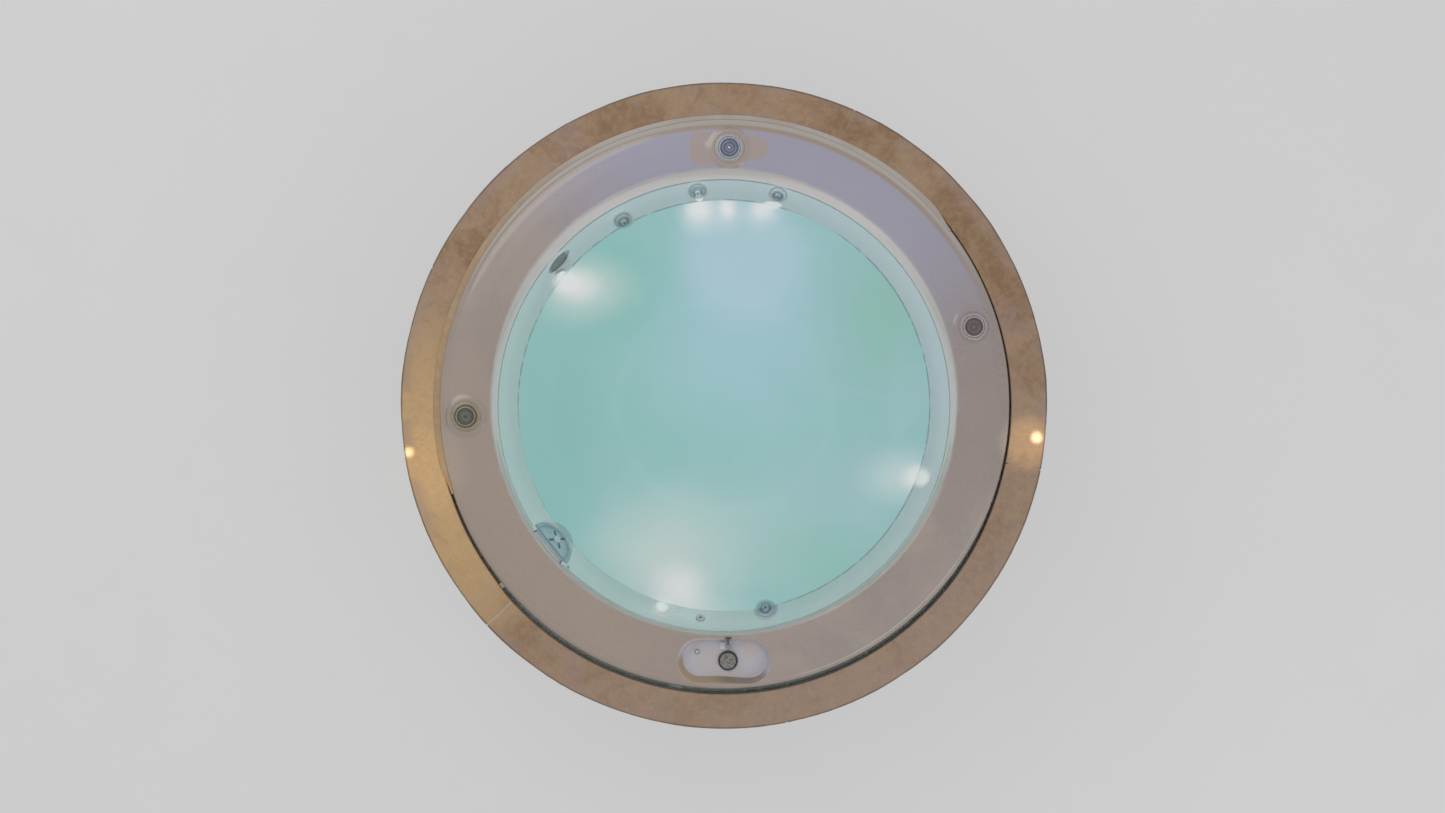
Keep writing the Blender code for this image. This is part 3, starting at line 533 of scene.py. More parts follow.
def acrylic_look():
    """Taupe moulding: painted lavender reflection on the wet rim at the back, pale lip painted as lit, pale blue-grey
    under water as painted light in the water, lilac control pocket with painted light and shade on its wall.
    """
    look = Look("moulded_acrylic", "948881", 0.22, coat=0.5, coat_roughness=0.05)
    height = look.part("Z")
    look.colour = look.blend(look.veil(0.35, 0.65, 3, 5, 0.6, 0.4), "887d78", "92867d")
    look.lay("7f7472", look.towards(78, 0.8, 1), 0.6)
    look.lay("8f8073", look.towards(235, 0.2, 1), 0.7)
    # Lavender at the back: painted reflection in the wet rim.
    look.lay("8e8da2", look.towards(14, 0.35, 0.92), look.reach(1.065, 1.03), 0.85)
    # Patches by the back controls where the wet film breaks: the painted reflection gives way to plain taupe.
    dry = 0
    for lobe in ((-0.078, 0.965, 0.064, 0.07, 0.8, 0.5), (0.105, 0.968, 0.072, 0.05, 0.8, 0.6),
                 (0.02, 0.967, 0.085, 0.085, 0.9, 0.25)):
        dry = look.larger(dry, look.patch(*lobe))
    look.lay("988679", dry, 0.75)
    # At the back: a tan band of painted shade inside the rolled edge, and the rolled edge painted pale as lit.
    back = look.towards(0, 0.35, 0.7)
    for tint, *limits in (("8b7b69", 1.036, 1.042, 1.052, 1.06), ("a09b96", 1.052, 1.06, 1.078, 1.086)):
        look.lay(tint, look.between(look.radius(), *limits), back, 0.8)
    for control, tint in zip(CONTROLS, ("8d8179", "867b77", "81776a")):
        halo = look.patch(control.translation.x, control.translation.y, 0.083, 0.083, 0.88)
        look.lay(tint, halo, 0.45)
    look.grain("a0958d", 120, 0.14, 5)
    # Darker outer edge at the front: painted shade on the rolled edge beside the gap.
    look.lay("6c6058", look.reach(1.046, 1.068), look.towards(185, 0.2, 0.8), 0.55)

    # The pale lip inside the crease is painted light, its edge made streaky by noise.
    streaky_edge = look.maths("MULTIPLY_ADD", look.noise(13, 5, 0.65), 0.009, -0.0045)
    lip = look.fade(look.maths("ADD", height, streaky_edge), CREASE_HEIGHT + 0.0035, CREASE_HEIGHT - 0.009)
    inside = look.reach(0.915, 0.9)
    pale = look.blend(look.towards(10, -0.6, 0.9), "a3a6a1", "a8a3a2")
    look.lay(pale, lip, inside)
    # Pale blue-grey under the water line: painted light scattered in the water.
    under = look.fade(height, WATER_LEVEL + 0.001, WATER_LEVEL - 0.004)
    look.lay("abb8b9", under, inside)
    # Dark line at the ledge: painted shade, broken by noise.
    ledge_shade_line = look.between(height, 0.752, 0.762, 0.77, 0.776)
    look.lay("4f6a66", ledge_shade_line, look.veil(0.38, 0.6, 5, 3))

    offset = look.vector("SUBTRACT", look.place, (*POCKET_CENTRE, 0))
    level = look.vector("ABSOLUTE", offset)
    past = look.larger(look.maths("ADD", look.part("X", level), (POCKET_WIDTH - POCKET_LENGTH) / 2), 0)
    along_pocket = look.node("ShaderNodeCombineXYZ", {0: past, 1: look.part("Y", level)}).outputs[0]
    pocket = look.fade(look.vector("LENGTH", along_pocket), POCKET_WIDTH / 2 + 0.009, POCKET_WIDTH / 2 + 0.006)
    sunk = look.times(pocket, look.fade(height, 0.8978, 0.895))
    look.lay(look.blend(look.veil(0.4, 0.6, 16, 3), "a7a4ad", "a9a1a2"), sunk)
    # On the pocket's near wall, painted light and shade: lit tan on the left, shaded brown on the right.
    near = look.fade(look.vector("DOT_PRODUCT", offset, (-0.2, -0.98, 0)), -0.004, 0.034)
    tan = look.blend(look.fade(look.part("X", offset), -0.12, 0.1), "988568", "756a61")
    look.lay(tan, sunk, near, look.fade(height, 0.859, 0.8625), 0.9)
    return look.done(look.noise(260, 3), 0.02, 0.0004)


def laminate_look():
    """The glass-fibre back of the tub."""
    look = Look("glass_fibre_back", "b8b3a2", 0.55)
    strands = look.noise(60, 6, 0.7, 2.5, (1, 1, 0.35))
    look.colour = look.blend(look.fade(strands, 0.4, 0.62), "a09a86", "c3beae")
    look.grain("8b8470", 9, 0.35, 4)
    return look.done(strands, 0.5, 0.0025)


# Tones of the water, and painted lamplight: the pale and near-white patches are painted glows round the lamps.
WATER_PATCHES = (
    # x, y, radii, inner share, colour, strength
    (-0.34, 0.44, 0.4, 0.34, 0, "85bdb2", 0.85),
    (0.55, 0.34, 0.36, 0.44, 0, "8ebcae", 0.8),
    (0.35, -0.58, 0.42, 0.22, 0, "8dbfb2", 0.75),
    (-0.62, -0.05, 0.26, 0.6, 0, "8cbcb6", 0.75),
    (0.08, 0.36, 0.6, 0.62, 0.15, "a3c6cf", 0.8),
    (0.08, 0.56, 0.31, 0.36, 0.35, "afcbd4", 0.9),
    (0.42, -0.3, 0.5, 0.3, 0, "a3c4c6", 0.6),
    (-0.05, -0.5, 0.62, 0.36, 0, "adcbc8", 0.75),
    (-0.22, -0.58, 0.4, 0.34, 0, "c4d2cf", 0.9),
    (-0.165, -0.69, 0.16, 0.14, 0, "dedede", 1),
    (-0.53, 0.44, 0.27, 0.18, 0, "c6d4d2", 0.9),
    (-0.56, 0.455, 0.13, 0.095, 0, "e0e0de", 1),
    (0.68, -0.27, 0.22, 0.15, 0, "c6d5d5", 0.85),
    (0.725, -0.275, 0.085, 0.075, 0, "e2e4e2", 1),
    (-0.09, 0.735, 0.115, 0.12, 0, "d6dde0", 0.9),
    (-0.094, 0.748, 0.072, 0.072, 0.1, "e2e4e4", 1),
    (0.012, 0.735, 0.08, 0.1, 0, "d2dade", 0.85),
    (0.012, 0.748, 0.045, 0.058, 0.1, "e2e4e4", 1),
    (0.14, 0.73, 0.11, 0.09, 0, "d2dade", 0.85),
    (0.145, 0.745, 0.062, 0.056, 0.1, "e0e3e3", 1),
)
BAND_GLOWS = (
    # x, y, radii, inner share, cover: lamplight on the sloping band
    (-0.094, 0.784, 0.024, 0.022, 0.4, 0.9),
    (0.182, 0.757, 0.052, 0.02, 0.5, 0.9),
    (0.745, -0.272, 0.06, 0.06, 0.3, 0.85),
    (-0.237, -0.764, 0.066, 0.06, 0.1, 0.7),
    (-0.6, 0.47, 0.075, 0.062, 0.3, 0.8),
    (-0.15, -0.79, 0.34, 0.11, 0, 0.45),
)
CLEAR_SPOTS = (
    # x, y, radii, inner share: still, clear water over the fittings
    (-0.382, 0.704, 0.046, 0.04, 0.75),
    (-0.101, 0.815, 0.046, 0.04, 0.75),
    (0.206, 0.801, 0.046, 0.04, 0.75),
    (0.159, -0.768, 0.044, 0.04, 0.75),
    (-0.626, 0.542, 0.05, 0.05, 0.75),
    (-0.089, -0.806, 0.022, 0.02, 0.75),
    (*JOINTS["skimmer_flap"]["pos_m"][:2], 0.098, 0.098, 0.92),
)
LEDGE_SHADES = ((330, 0.86, 0.97), (80, 0.6, 0.8), (137, 0.82, 0.95), (283, 0.93, 0.99), (8, 0.97, 0.995))


def water_look():
    """Milky water with its lamplight painted in as glows: nearly opaque over the deep tub and clear over the sloping
    band.
    """
    look = Look("milky_water", "94bdbb", 0.07)
    radius = look.radius()
    look.colour = look.blend(look.fade(look.part("X"), -0.7, 0.7), "96c1be", "9fc3c6")
    look.lay("8bbfba", look.veil(0.38, 0.62, 2.6, 4, 0.55, 0.8), 0.4)
    for *ellipse, tint, strength in WATER_PATCHES:
        look.lay(tint, look.patch(*ellipse, 0.22, 5), strength)
    look.colour = look.vector("MULTIPLY", look.colour, (1.01, 1.03, 1.035))
    shallow = look.fade(radius, 0.774, 0.779)
    look.lay(look.blend(look.towards(40, -0.8, 0.8), "a6d0ca", "b6cdd3"), shallow)
    edge = look.fade(radius, WATER_RADIUS - 0.0055, WATER_RADIUS - 0.002)
    look.lay("6f9f9b", edge)
    shade = 0.12
    for direction in LEDGE_SHADES:
        shade = look.larger(shade, look.towards(*direction))
    line = look.between(radius, 0.7735, 0.7765, 0.7785, 0.7815)
    shade = look.times(line, shade, look.veil(0.3, 0.52, 26, 3))
    look.lay("5b807f", shade, 0.75)
    cover = look.larger(look.times(edge, 0.75), look.times(shade, 0.7))
    for *ellipse, strength in BAND_GLOWS:
        glow = look.times(look.patch(*ellipse, 0.35, 14), strength)
        look.lay("e4e8e8", glow)
        cover = look.larger(cover, look.times(glow, 0.85))
    clear = 0
    for spot in CLEAR_SPOTS:
        clear = look.larger(clear, look.patch(*spot))
    base_alpha = look.node("ShaderNodeMapRange", {"Value": shallow, "To Min": 0.82, "To Max": 0.24}).outputs[0]
    thin = look.maths("SUBTRACT", 1, look.times(clear, 0.7), clamp=True)
    look.set("Alpha", look.times(look.larger(base_alpha, cover), thin))
    look.set("IOR", 1.33)
    return look.done(look.noise(7, 3, 0.5, 0.6), 0.1, 0.01)


def plastic_look(name, colour, other, roughness, scale=90, coat=0, relief=0.08):
    look = Look(name, colour, roughness, coat=coat)
    look.vary("Roughness", look.noise(35, 3), roughness - 0.08, roughness + 0.1)
    look.grain(other, scale, 0.6)
    look.grain(other, 14, 0.4)
    return look.done(look.noise(700, 2), relief, 0.0004)


def metal_look(name, colour, other, roughness, scale=40):
    look = Look(name, colour, roughness, metallic=1)
    lines = look.noise(220, 3, 0.6, 0, (1, 1, 0.12))
    look.vary("Roughness", lines, roughness - 0.08, roughness + 0.14)
    look.grain(other, scale, 0.6, 5)
    return look.done(lines, 0.1, 0.0004)


def seal_look():
    """Cream cover strip, browner on the left: painted warm lamplight."""
    look = Look("cream_seal", "a29a92", 0.5)
    look.colour = look.blend(look.towards(268, 0.3, 0.95), "9c948d", "967a56")
    look.grain("a59d95", 40, 0.2)
    look.grain("80735f", 6, 0.25)
    return look.done(look.noise(90, 3), 0.2, 0.0006)


def channel_look():
    """Wet overflow channel, with a streak of light at the front."""
    look = Look("wet_channel", "b9c4bf", 0.25, coat=0.4)
    look.grain("9daaa4", 20, 0.6)
    streak = look.patch(-0.145, -1.066, 0.105, 0.012, 0.3)
    look.lay("f2f6f6", streak, look.veil(0.35, 0.55, 30, 3))
    return look.done(look.noise(60, 3), 0.15, 0.0006)


def rings_look(name, joint, rings):
    """Plastic in rings of colour round a joint's axis: radius in millimetres and colour, from the middle out."""
    rings = [(float(radius), tint) for radius, tint in (ring.split() for ring in rings.split(","))]
    look = Look(name, rings[0][1], 0.28, coat=0.3)
    offset = look.vector("SUBTRACT", look.place, tuple(joint["pos_m"]))
    distance = look.vector("LENGTH", look.vector("CROSS_PRODUCT", offset, tuple(joint["axis"])))
    for (before, _), (radius, tint) in zip(rings, rings[1:]):
        middle = (before + radius) / 2000
        look.lay(tint, look.fade(distance, middle - 0.0008, middle + 0.0008))
    dulled = look.over("ffffff", "d9d9d9", look.veil(0.4, 0.64, 130, 3), 0.6)
    look.colour = look.vector("MULTIPLY", look.colour, dulled)
    return look.done(look.noise(700, 2), 0.08, 0.0004)


def board_look():
    look = Look("sealed_plywood", "7a5a3c", 0.6)
    rings = look.noise(6, 6, 0.6, 1.2, (1, 1, 14))
    look.colour = look.blend(look.fade(rings, 0.38, 0.62), "5e4229", "8a6a48")
    plies = look.node("ShaderNodeTexWave", {"Vector": look.place, "Scale": 62, "Distortion": 0.6},
                      bands_direction="Z").outputs["Fac"]
    look.lay("3f2b1a", look.fade(plies, 0.4, 0.8), 0.45)
    return look.done(rings, 0.3, 0.001)


def lamp_look():
    look = Look("lit_lens", "eef0ee", 0.2, coat=0.6)
    look.set("Emission Color", (0.9, 0.96, 1, 1))
    look.set("Emission Strength", 0.45)
    look.colour = "f2f4f2"
    look.grain("dfe6e8", 160, 0.7)
    return look.done(look.noise(160, 2), 0.1, 0.0006)


KNOB_RINGS = (
    # rings of colour, each a radius in millimetres and its tint
    "0 8d93a4, 6 474c60, 12 777d90, 18 4e5368, 24 6e748a, 31 4c5166, 39 9da5ab",
    "0 7a4a44, 5 5d5250, 13 544a48, 20 605554, 30 4c4341, 39 9f9799",
    "0 73754f, 6 50534a, 14 5d5f54, 22 4b4d43, 30 3f4138, 35 7f7b69, 39 5a5345",
)
COLLAR_RINGS = (
    "38 a9adb0, 46 a6a8a8, 49 858a89, 53 9a9088",
    "38 a79ea1, 46 a1989b, 50 857b78, 54 8d827d",
    "38 6e6453, 44 8a7d69, 50 877964, 55 8b7e6d",
)
JET_RINGS = (
    "0 8e9a9c, 12 bcc6c6, 16 a9b2b4, 21 6c929b, 25 b6c6c8, 30 a2c2c4, 34 bdd2d2",
    "0 b4cacd, 8 c8d8da, 17 96bac2, 22 c0d2d6, 29 78a4b0, 33 c0d8da",
    "0 3a464e, 6 8a9ba5, 12 a2b6c0, 15 7c929f, 22 9bb0bb, 25 c0d3d6, 31 b4cacc",
    "0 1f2c38, 13 b9b9ca, 16 6b8bae, 22 6b8fab, 27 b8c6d6, 32 c6c9d4",
)
PLASTICS = {
    # short name: name, colour, other colour, roughness, grain scale, coat, relief
    "faint_grout": ("faint_grout", "97846f", "877461", 0.85, 240, 0, 0.5),
    "grout": ("grout", "b9aea0", "998d7e", 0.85, 240, 0, 0.5),
    "white": ("white_plastic", "c3c6c6", "b2b5b4", 0.34),
    "pan": ("grey_pan", "6e7073", "5c5e61", 0.5, 50, 0, 0.3),
    "dark": ("charcoal_plastic", "3d4144", "2c2f31", 0.38),
    "rubber": ("black_rubber", "1d1e20", "2a2b2d", 0.7, 200, 0, 0.3),
    "panel": ("blue_grey_panel", "6f929f", "5f818e", 0.3, 80, 0.3),
    "flap": ("weir_flap", "a6a5a9", "93a0a4", 0.34),
    "pipe": ("grey_pipe", "c4c6c8", "b4b7ba", 0.36, 25, 0.2),
    "motor": ("motor_enamel", "26323f", "1b242e", 0.42, 60, 0.3, 0.3),
    "boss": ("pale_boss", "cdd1da", "bfc5d0", 0.26, 60, 0.3),
    "hub": ("panel_hub", "a3b4bd", "8aa2ad", 0.26, 60, 0.4),
    "trim": ("jet_blue_trim", "5e6a86", "4a5670", 0.28, 90, 0.4),
    "rust": ("reddish_cap", "7c5a55", "6a4843", 0.35),
    "button": ("grey_button", "7b7872", "4c4946", 0.34, 95, 0.2, 0.4),
    "lever": ("lever_grey", "85848b", "6a6970", 0.32),
    "grille": ("dark_grille", "525857", "3a3f3e", 0.32),
    "air": ("clear_grey_pipe", "b9bdc2", "a7acb2", 0.3, 30, 0.3),
    "union": ("grey_union", "8d9196", "7b8086", 0.38),
}


def make_looks():
    """Every material by its short name."""
    looks = {key: plastic_look(*values) for key, values in PLASTICS.items()}
    looks.update(stone=stone_look(), acrylic=acrylic_look(), laminate=laminate_look(), water=water_look(),
                 lens=lamp_look(), seal=seal_look(), channel=channel_look(), board=board_look(),
                 chrome=metal_look("bright_steel", "b9c0c8", "98a2ac", 0.2),
                 steel=metal_look("galvanised_steel", "a5a9ac", "7f8487", 0.42, 22),
                 brass=metal_look("brass_fitting", "b89a5a", "937640", 0.3))
    for kind, joint, rings in (("knob", "air_control_knob", KNOB_RINGS), ("collar", "air_control_knob", COLLAR_RINGS),
                               ("jet", "jet_face", JET_RINGS)):
        for number, each in enumerate(rings, 1):
            name = f"{kind}_{number}"
            looks[name] = rings_look(name, JOINTS[f"{joint}_{number}"], each)
    return looks


LOOKS = make_looks()

# Looks with the slots that they usually go with
WHITE = ("white", "white_plastic")
DARK = ("dark", "dark_plastic")
STEEL = ("steel", "steel")
PIPE = ("pipe", "pipe")
PANEL = ("panel", "panel")


# ---- Tub and water ----


def wet_outline():
    """Water side of the tub from its rolled edge to the floor: radius, height, backward shift."""
    bead = arc_points((RIM_OUTER - BEAD_RADIUS, CREST_HEIGHT - BEAD_RADIUS), (BEAD_RADIUS, BEAD_RADIUS), 0, 135, 8)
    edge = [(RIM_OUTER, EDGE_FOOT), *bead, (RIM_OUTER - 0.025, CREST_HEIGHT - 0.006),
            (CREST_RADIUS + 0.06, CREST_HEIGHT - 0.003)]
    crest = [(CREST_RADIUS, CREST_HEIGHT, CREST_SHIFT),
             (CREASE_RADIUS + 0.018, CREASE_HEIGHT + 0.005, CREASE_SHIFT),
             (CREASE_RADIUS, CREASE_HEIGHT, CREASE_SHIFT)]
    wall = [(WATER_RADIUS, WATER_LEVEL), SLOPE_FOOT, LAMP_BAND_TOP, LAMP_BAND_FOOT,
            (BENCH_OUTER + 0.012, BENCH_HEIGHT + 0.035), (BENCH_OUTER - 0.025, BENCH_HEIGHT),
            (FOOTWELL_RADIUS + 0.035, BENCH_HEIGHT - 0.007), (FOOTWELL_RADIUS, BENCH_HEIGHT - 0.037),
            (FLOOR_RADIUS + 0.04, FLOOR_HEIGHT + 0.04), (FLOOR_RADIUS, FLOOR_HEIGHT), (0.06, FLOOR_HEIGHT)]
    return ([Vector((*point, EDGE_SHIFT)) for point in edge] + [Vector(point) for point in crest]
            + [Vector((*point, 0)) for point in wall])


def dry_outline(wet):
    """The back of the tub: the water side moved out by the shell's thickness."""
    inner_edge = RIM_OUTER - SHELL_THICKNESS
    dry = [Vector((inner_edge, EDGE_FOOT, EDGE_SHIFT)), Vector((inner_edge, CREST_HEIGHT - 0.014, EDGE_SHIFT))]
    first = next(i for i, point in enumerate(wet) if abs(point.x - CREST_RADIUS - 0.06) < 1e-6)
    chain = [point for point in wet[first:] if tuple(point[:2]) != LAMP_BAND_TOP]
    for before, here, after in zip([wet[first - 1], *chain], chain, [*chain[1:], Vector((0, FLOOR_HEIGHT, 0))]):
        back, ahead = (here - before).xy, (after - here).xy
        one = Vector((-back.y, back.x)).normalized()
        two = Vector((-ahead.y, ahead.x)).normalized()
        mitre = (one + two).normalized()
        reach = SHELL_THICKNESS / mitre.dot(two)
        dry.append(Vector((here.x + mitre.x * reach, here.y + mitre.y * reach, here.z)))
    return dry


def resampled(points, spacing):
    """Points along a line no further apart than the spacing there."""
    made = [points[0]]
    for start, stop in zip(points, points[1:]):
        count = max(1, ceil((stop - start).length / spacing((start + stop) / 2)))
        made += [start.lerp(stop, (i + 1) / count) for i in range(count)]
    return made


def row_spacing(point):
    """Largest distance between the tub's rows: finest on the rim and coarse in the depth."""
    if point.x > CREASE_RADIUS:
        return RIM_SPACING
    return WALL_SPACING if point.y > SLOPE_FOOT[1] else DEEP_SPACING


def pocket_depth(x, y):
    """How far a point of the rim sinks into the control pocket: 0 outside it and 1 on its floor."""
    dx, dy = x - POCKET_CENTRE.x, y - POCKET_CENTRE.y
    past = max(abs(dx) - (POCKET_LENGTH - POCKET_WIDTH) / 2, 0)
    inside = hypot(past, dy) - POCKET_WIDTH / 2
    lean = 0.5 - 0.5 * (0.55 * dx + 0.83 * dy) / max(hypot(dx, dy), 1e-6)
    return smooth((POCKET_WALL - inside) / (0.014 + 0.018 * lean))


def rim_height(x, y, height, depth):
    """Height of a point of the rim with its moulded bosses and control pocket."""
    for control in CONTROLS:
        reach = hypot(x - control.translation.x, y - control.translation.y)
        height += smooth((BOSS_RADIUS + 0.006 - reach) / 0.012) * (BOSS_TOP - depth - height)
    height += pocket_depth(x, y) * (POCKET_FLOOR - depth - height)
    dimple = smooth(1 - hypot(x - 0.1125, y + 0.943) / 0.022)
    return height - 0.0022 * dimple


def column_angles():
    """Clock angles of the tub's columns, closer together at the pocket and the air controls."""
    busy = [POCKET_COLUMNS] + [(clock_angle(control.translation), *CONTROL_COLUMNS) for control in CONTROLS]
    angles = []
    angle = 0
    while angle < 359.8:
        angles.append(angle)
        steps = [step for centre, reach, step in busy if abs((angle - centre + 180) % 360 - 180) < reach]
        angle += min(steps, default=COLUMN_STEP)
    return angles


def make_tub():
    wet = wet_outline()
    wet_rows = resampled(eased(wet, 0.012, 4), row_spacing)
    dry_rows = resampled(eased(dry_outline(wet), 0.01, 3), row_spacing)
    angles = column_angles()
    rows = []
    for section, depth in ((wet_rows[::-1], 0), (dry_rows, SHELL_THICKNESS)):
        for radius, height, shift in section:
            row = []
            for angle in angles:
                point = clock(angle, radius, height) + Vector((0, shift, 0))
                if CREASE_RADIUS < radius < RIM_OUTER - 0.014:
                    point.z = rim_height(point.x, point.y, height, depth)
                row.append(point)
            rows.append(row)
    mesh = skin(rows)
    first_dry = len(wet_rows) * len(angles)
    for face in mesh.polygons:
        dry = min(face.vertices) >= first_dry - len(angles) and max(face.vertices) >= first_dry
        face.material_index = 1 if dry else 0
    drill = [(JET_HOLE, place) for place in JET_FRAMES] + [(LAMP_HOLE, place) for place in LAMP_FRAMES]
    drill += [(CONTROL_HOLE, place) for place in CONTROLS] + [(INLET_HOLE, INLET)]
    holes = [turned([(radius, -0.05), (radius, 0.03)], place, 32, soft=0) for radius, place in drill]
    holes.append(turned([(BUTTON_HOLE, -0.03), (BUTTON_HOLE, 0.01)], BUTTON, 32, soft=0))
    holes.append(turned([(LEVER_HOLE, -0.03), (LEVER_HOLE, 0.01)], LEVER, 24, soft=0))
    holes.append(box_between(*THROAT, SKIMMER))
    show("tub_moulding", mesh, "acrylic laminate", "acrylic", "tub_shell", sharp=50, cut=holes)
    lathe("front_jet_boss", "44 -36, 49.5 -26, 44 -8, 40 -2.5, 38.5 -1.2, 29 -1.2, 29 -36", FRONT_JET, 72, 0.003,
          "boss", "acrylic", ring=True)

    edge = WATER_RADIUS - 0.0006
    radii = [edge * sqrt(i / WATER_RINGS) for i in range(1, WATER_RINGS + 1)]
    levels = [(radius, WATER_LEVEL) for radius in radii]
    levels += [(radius, WATER_LEVEL - WATER_SHEET) for radius in radii[::-1]]
    turns = [360 * i / WATER_COLUMNS for i in range(WATER_COLUMNS)]
    sheet = [[clock(turn, radius, level) for turn in turns] for radius, level in levels]
    show("water_surface", skin(sheet), "water", None)


# ---- Coping, gutter and stand ----


def swept(section, start, stop, step, wander=None):
    """Part of a ring with a (radius, height) section, its points moved by wander."""
    count = max(2, round((stop - start) / step))
    rows = []
    for i in range(count + 1):
        angle = start + (stop - start) * i / count
        row = [clock(angle, radius, height) for radius, height in section]
        rows.append([wander(point) for point in row] if wander else row)
    return skin(rows)


def stone_wander(point):
    """A quarried stone's surface: a little uneven, with waving edges and set back at the widest gaps."""
    level = Vector((point.x, point.y, 0))
    outward = level.normalized()
    face = smooth((point.z - STONE_HIGH + 0.01) / 0.008)
    lift = noise.noise(point * 9) * 0.0005 + noise.noise(point * 48) * 0.0003 - 0.0004
    side = smooth((level.length - COPING_OUTER + 0.03) / 0.03)
    wave = noise.noise(level * 5) * 0.0022 + noise.noise(level * 31) * 0.0008 - 0.0016
    near = max(smooth((outward.dot(clock(84, 1)) - 0.7) / 0.25), smooth((outward.dot(clock(247, 1)) - 0.94) / 0.04))
    squeeze = smooth((COPING_INNER + 0.03 - level.length) / 0.03) * near
    return point + Vector((0, 0, lift * face)) + outward * (wave * side - 0.005 * squeeze)


def make_coping():
    corners = [(COPING_INNER, COPING_LOW), (COPING_INNER, STONE_HIGH), (COPING_OUTER, STONE_HIGH),
               (COPING_OUTER, COPING_LOW)]
    section = eased(corners, STONE_EASE, 5, ring=True)
    section = resampled([*section, section[0]], lambda point: STONE_EASE)[:-1]
    grout = [(COPING_INNER + 0.0015, COPING_LOW + 0.001), (COPING_INNER + 0.0015, STONE_HIGH - 0.0012),
             (COPING_OUTER - 0.0045, STONE_HIGH - 0.0012), (COPING_OUTER - 0.0045, COPING_LOW + 0.001)]
    joints = [*COPING_JOINTS, COPING_JOINTS[0] + 360]
    for number, (start, stop) in enumerate(zip(joints, joints[1:]), 1):
        slab = swept(section, start + GROUT_HALF, stop - GROUT_HALF, STONE_STEP, stone_wander)
        show(f"stone_slab_{number}", slab, "stone", "stone", f"coping_stone_{number}")
        filled = swept(eased(grout, 0.006, 3, ring=True), start - GROUT_HALF, start + GROUT_HALF, 0.1)
        show(f"grout_joint_{number}", filled, "grout" if number == PALE_JOINT else "faint_grout", "stone")

    low, high = STONE_HIGH + 0.0003, STONE_HIGH + 0.003
    profile = ((0, low), (0.05, low + 0.0013), (0.16, high - 0.0003), (0.3, high), (0.7, high),
               (0.84, high - 0.0003), (0.95, low + 0.0013), (1, low))
    first, last = SEAL_SPAN
    rows = []
    for i in range(SEAL_STEPS + 1):
        angle = first + (last - first) * i / SEAL_STEPS
        shift = Vector((0, EDGE_SHIFT * max(0, cos(radians(angle))), 0))
        inner, outer = clock(angle, RIM_OUTER - 0.007) + shift, clock(angle, COPING_INNER + 0.007)
        width = 0.35 + 0.65 * smooth(min(angle - first, last - angle) / 7)
        rows.append([inner.lerp(outer, share * width) + Vector((0, 0, height)) for share, height in profile])
    show("edge_cover_strip", skin(rows), "seal", "seal", "edge_seal")


def bolt(place, radius, height):
    """Hexagonal bolt head on its washer."""
    washer = turned([(radius * 1.5, 0), (radius * 1.5, 0.0012)], place, 24, soft=0.0003)
    head = turned([(radius, 0.001), (radius, height - 0.0008), (radius * 0.86, height)], place, 6, soft=0)
    return joined([washer, head])


def make_stand():
    top, wall = COPING_LOW - 0.0003, 0.003
    inner, outer, floor, lip = 1.055, 1.0885, 0.8, 0.858
    gutter = [(inner, floor), (inner, lip), (inner + wall, lip), (inner + wall, floor + wall),
              (outer - wall, floor + wall), (outer - wall, top), (1.195, top), (1.195, top - wall),
              (outer, top - wall), (outer, floor)]

    def ring_piece(name, node, outline, look, slot, soft=0.0015):
        show(name, turned(outline, steps=240, ring=True, soft=soft), look, slot, node)

    ring_piece("overflow_channel", "overflow_gutter", gutter, "channel", "grey_plastic", 0.0012)
    low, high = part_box("coping_bearer")
    ring_piece("bearer_board_ring", "coping_bearer", rectangle(1.0955, high.x, low.z, high.z), "board", "board")
    low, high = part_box("frame_hoop")
    ring_piece("hoop_tube", "frame_hoop", rectangle(1.078, high.x, low.z, high.z), *STEEL, 0.005)
    lathe("floor_pan", "1180 0, 1180 18, 1170 30, 1150 30, 1146 28.5, 430 28.5, 426 30, 100 30", Matrix(), 240, 0.003,
          "pan", "grey_plastic", "base_pan")

    gusset = [(1.105, 0.735), (1.105, 0.665), (1.035, 0.735)]
    for number in range(1, 7):
        angle = 30 + 60 * (number - 1)
        bolts = [bolt(facing(angle, 1.0895, 0.0383) @ at(x, 0), 0.0065, 0.005) for x in (-0.013, 0.013)]
        bolts += [bolt(facing(angle, 1.155, z) @ about("X", -90) @ at(x, 0), 0.0075, 0.005)
                  for x, z in ((-0.012, 0.415), (0.012, 0.425))]
        bolts += [bolt(facing(angle, 1.13, z) @ at(0.025, 0) @ about("Y", 90), 0.0065, 0.005) for z in (0.748, 0.772)]
        show(f"leg_bolts_{number}", joined(bolts), "brass", "steel")
        sections = [[facing(angle, 0, 0) @ Vector((x, y, z)) for y, z in gusset] for x in (-0.003, 0.003)]
        show(f"leg_gusset_{number}", skin(sections), *STEEL, bevel=0.001)


# ---- Fittings on the wall ----


def wall_nut(place, bore, low, high, across, beyond, steps=60, waves=8):
    """Ribbed nut behind the wall, its sizes in millimetres."""
    outline = mm(f"{bore} {low}, {bore} {high}, {across - 2} {high}, {across} {high - 3}, {across} {low}")
    return turned(outline, place, steps, ring=True, waves=waves, depth=0.0012, beyond=beyond)


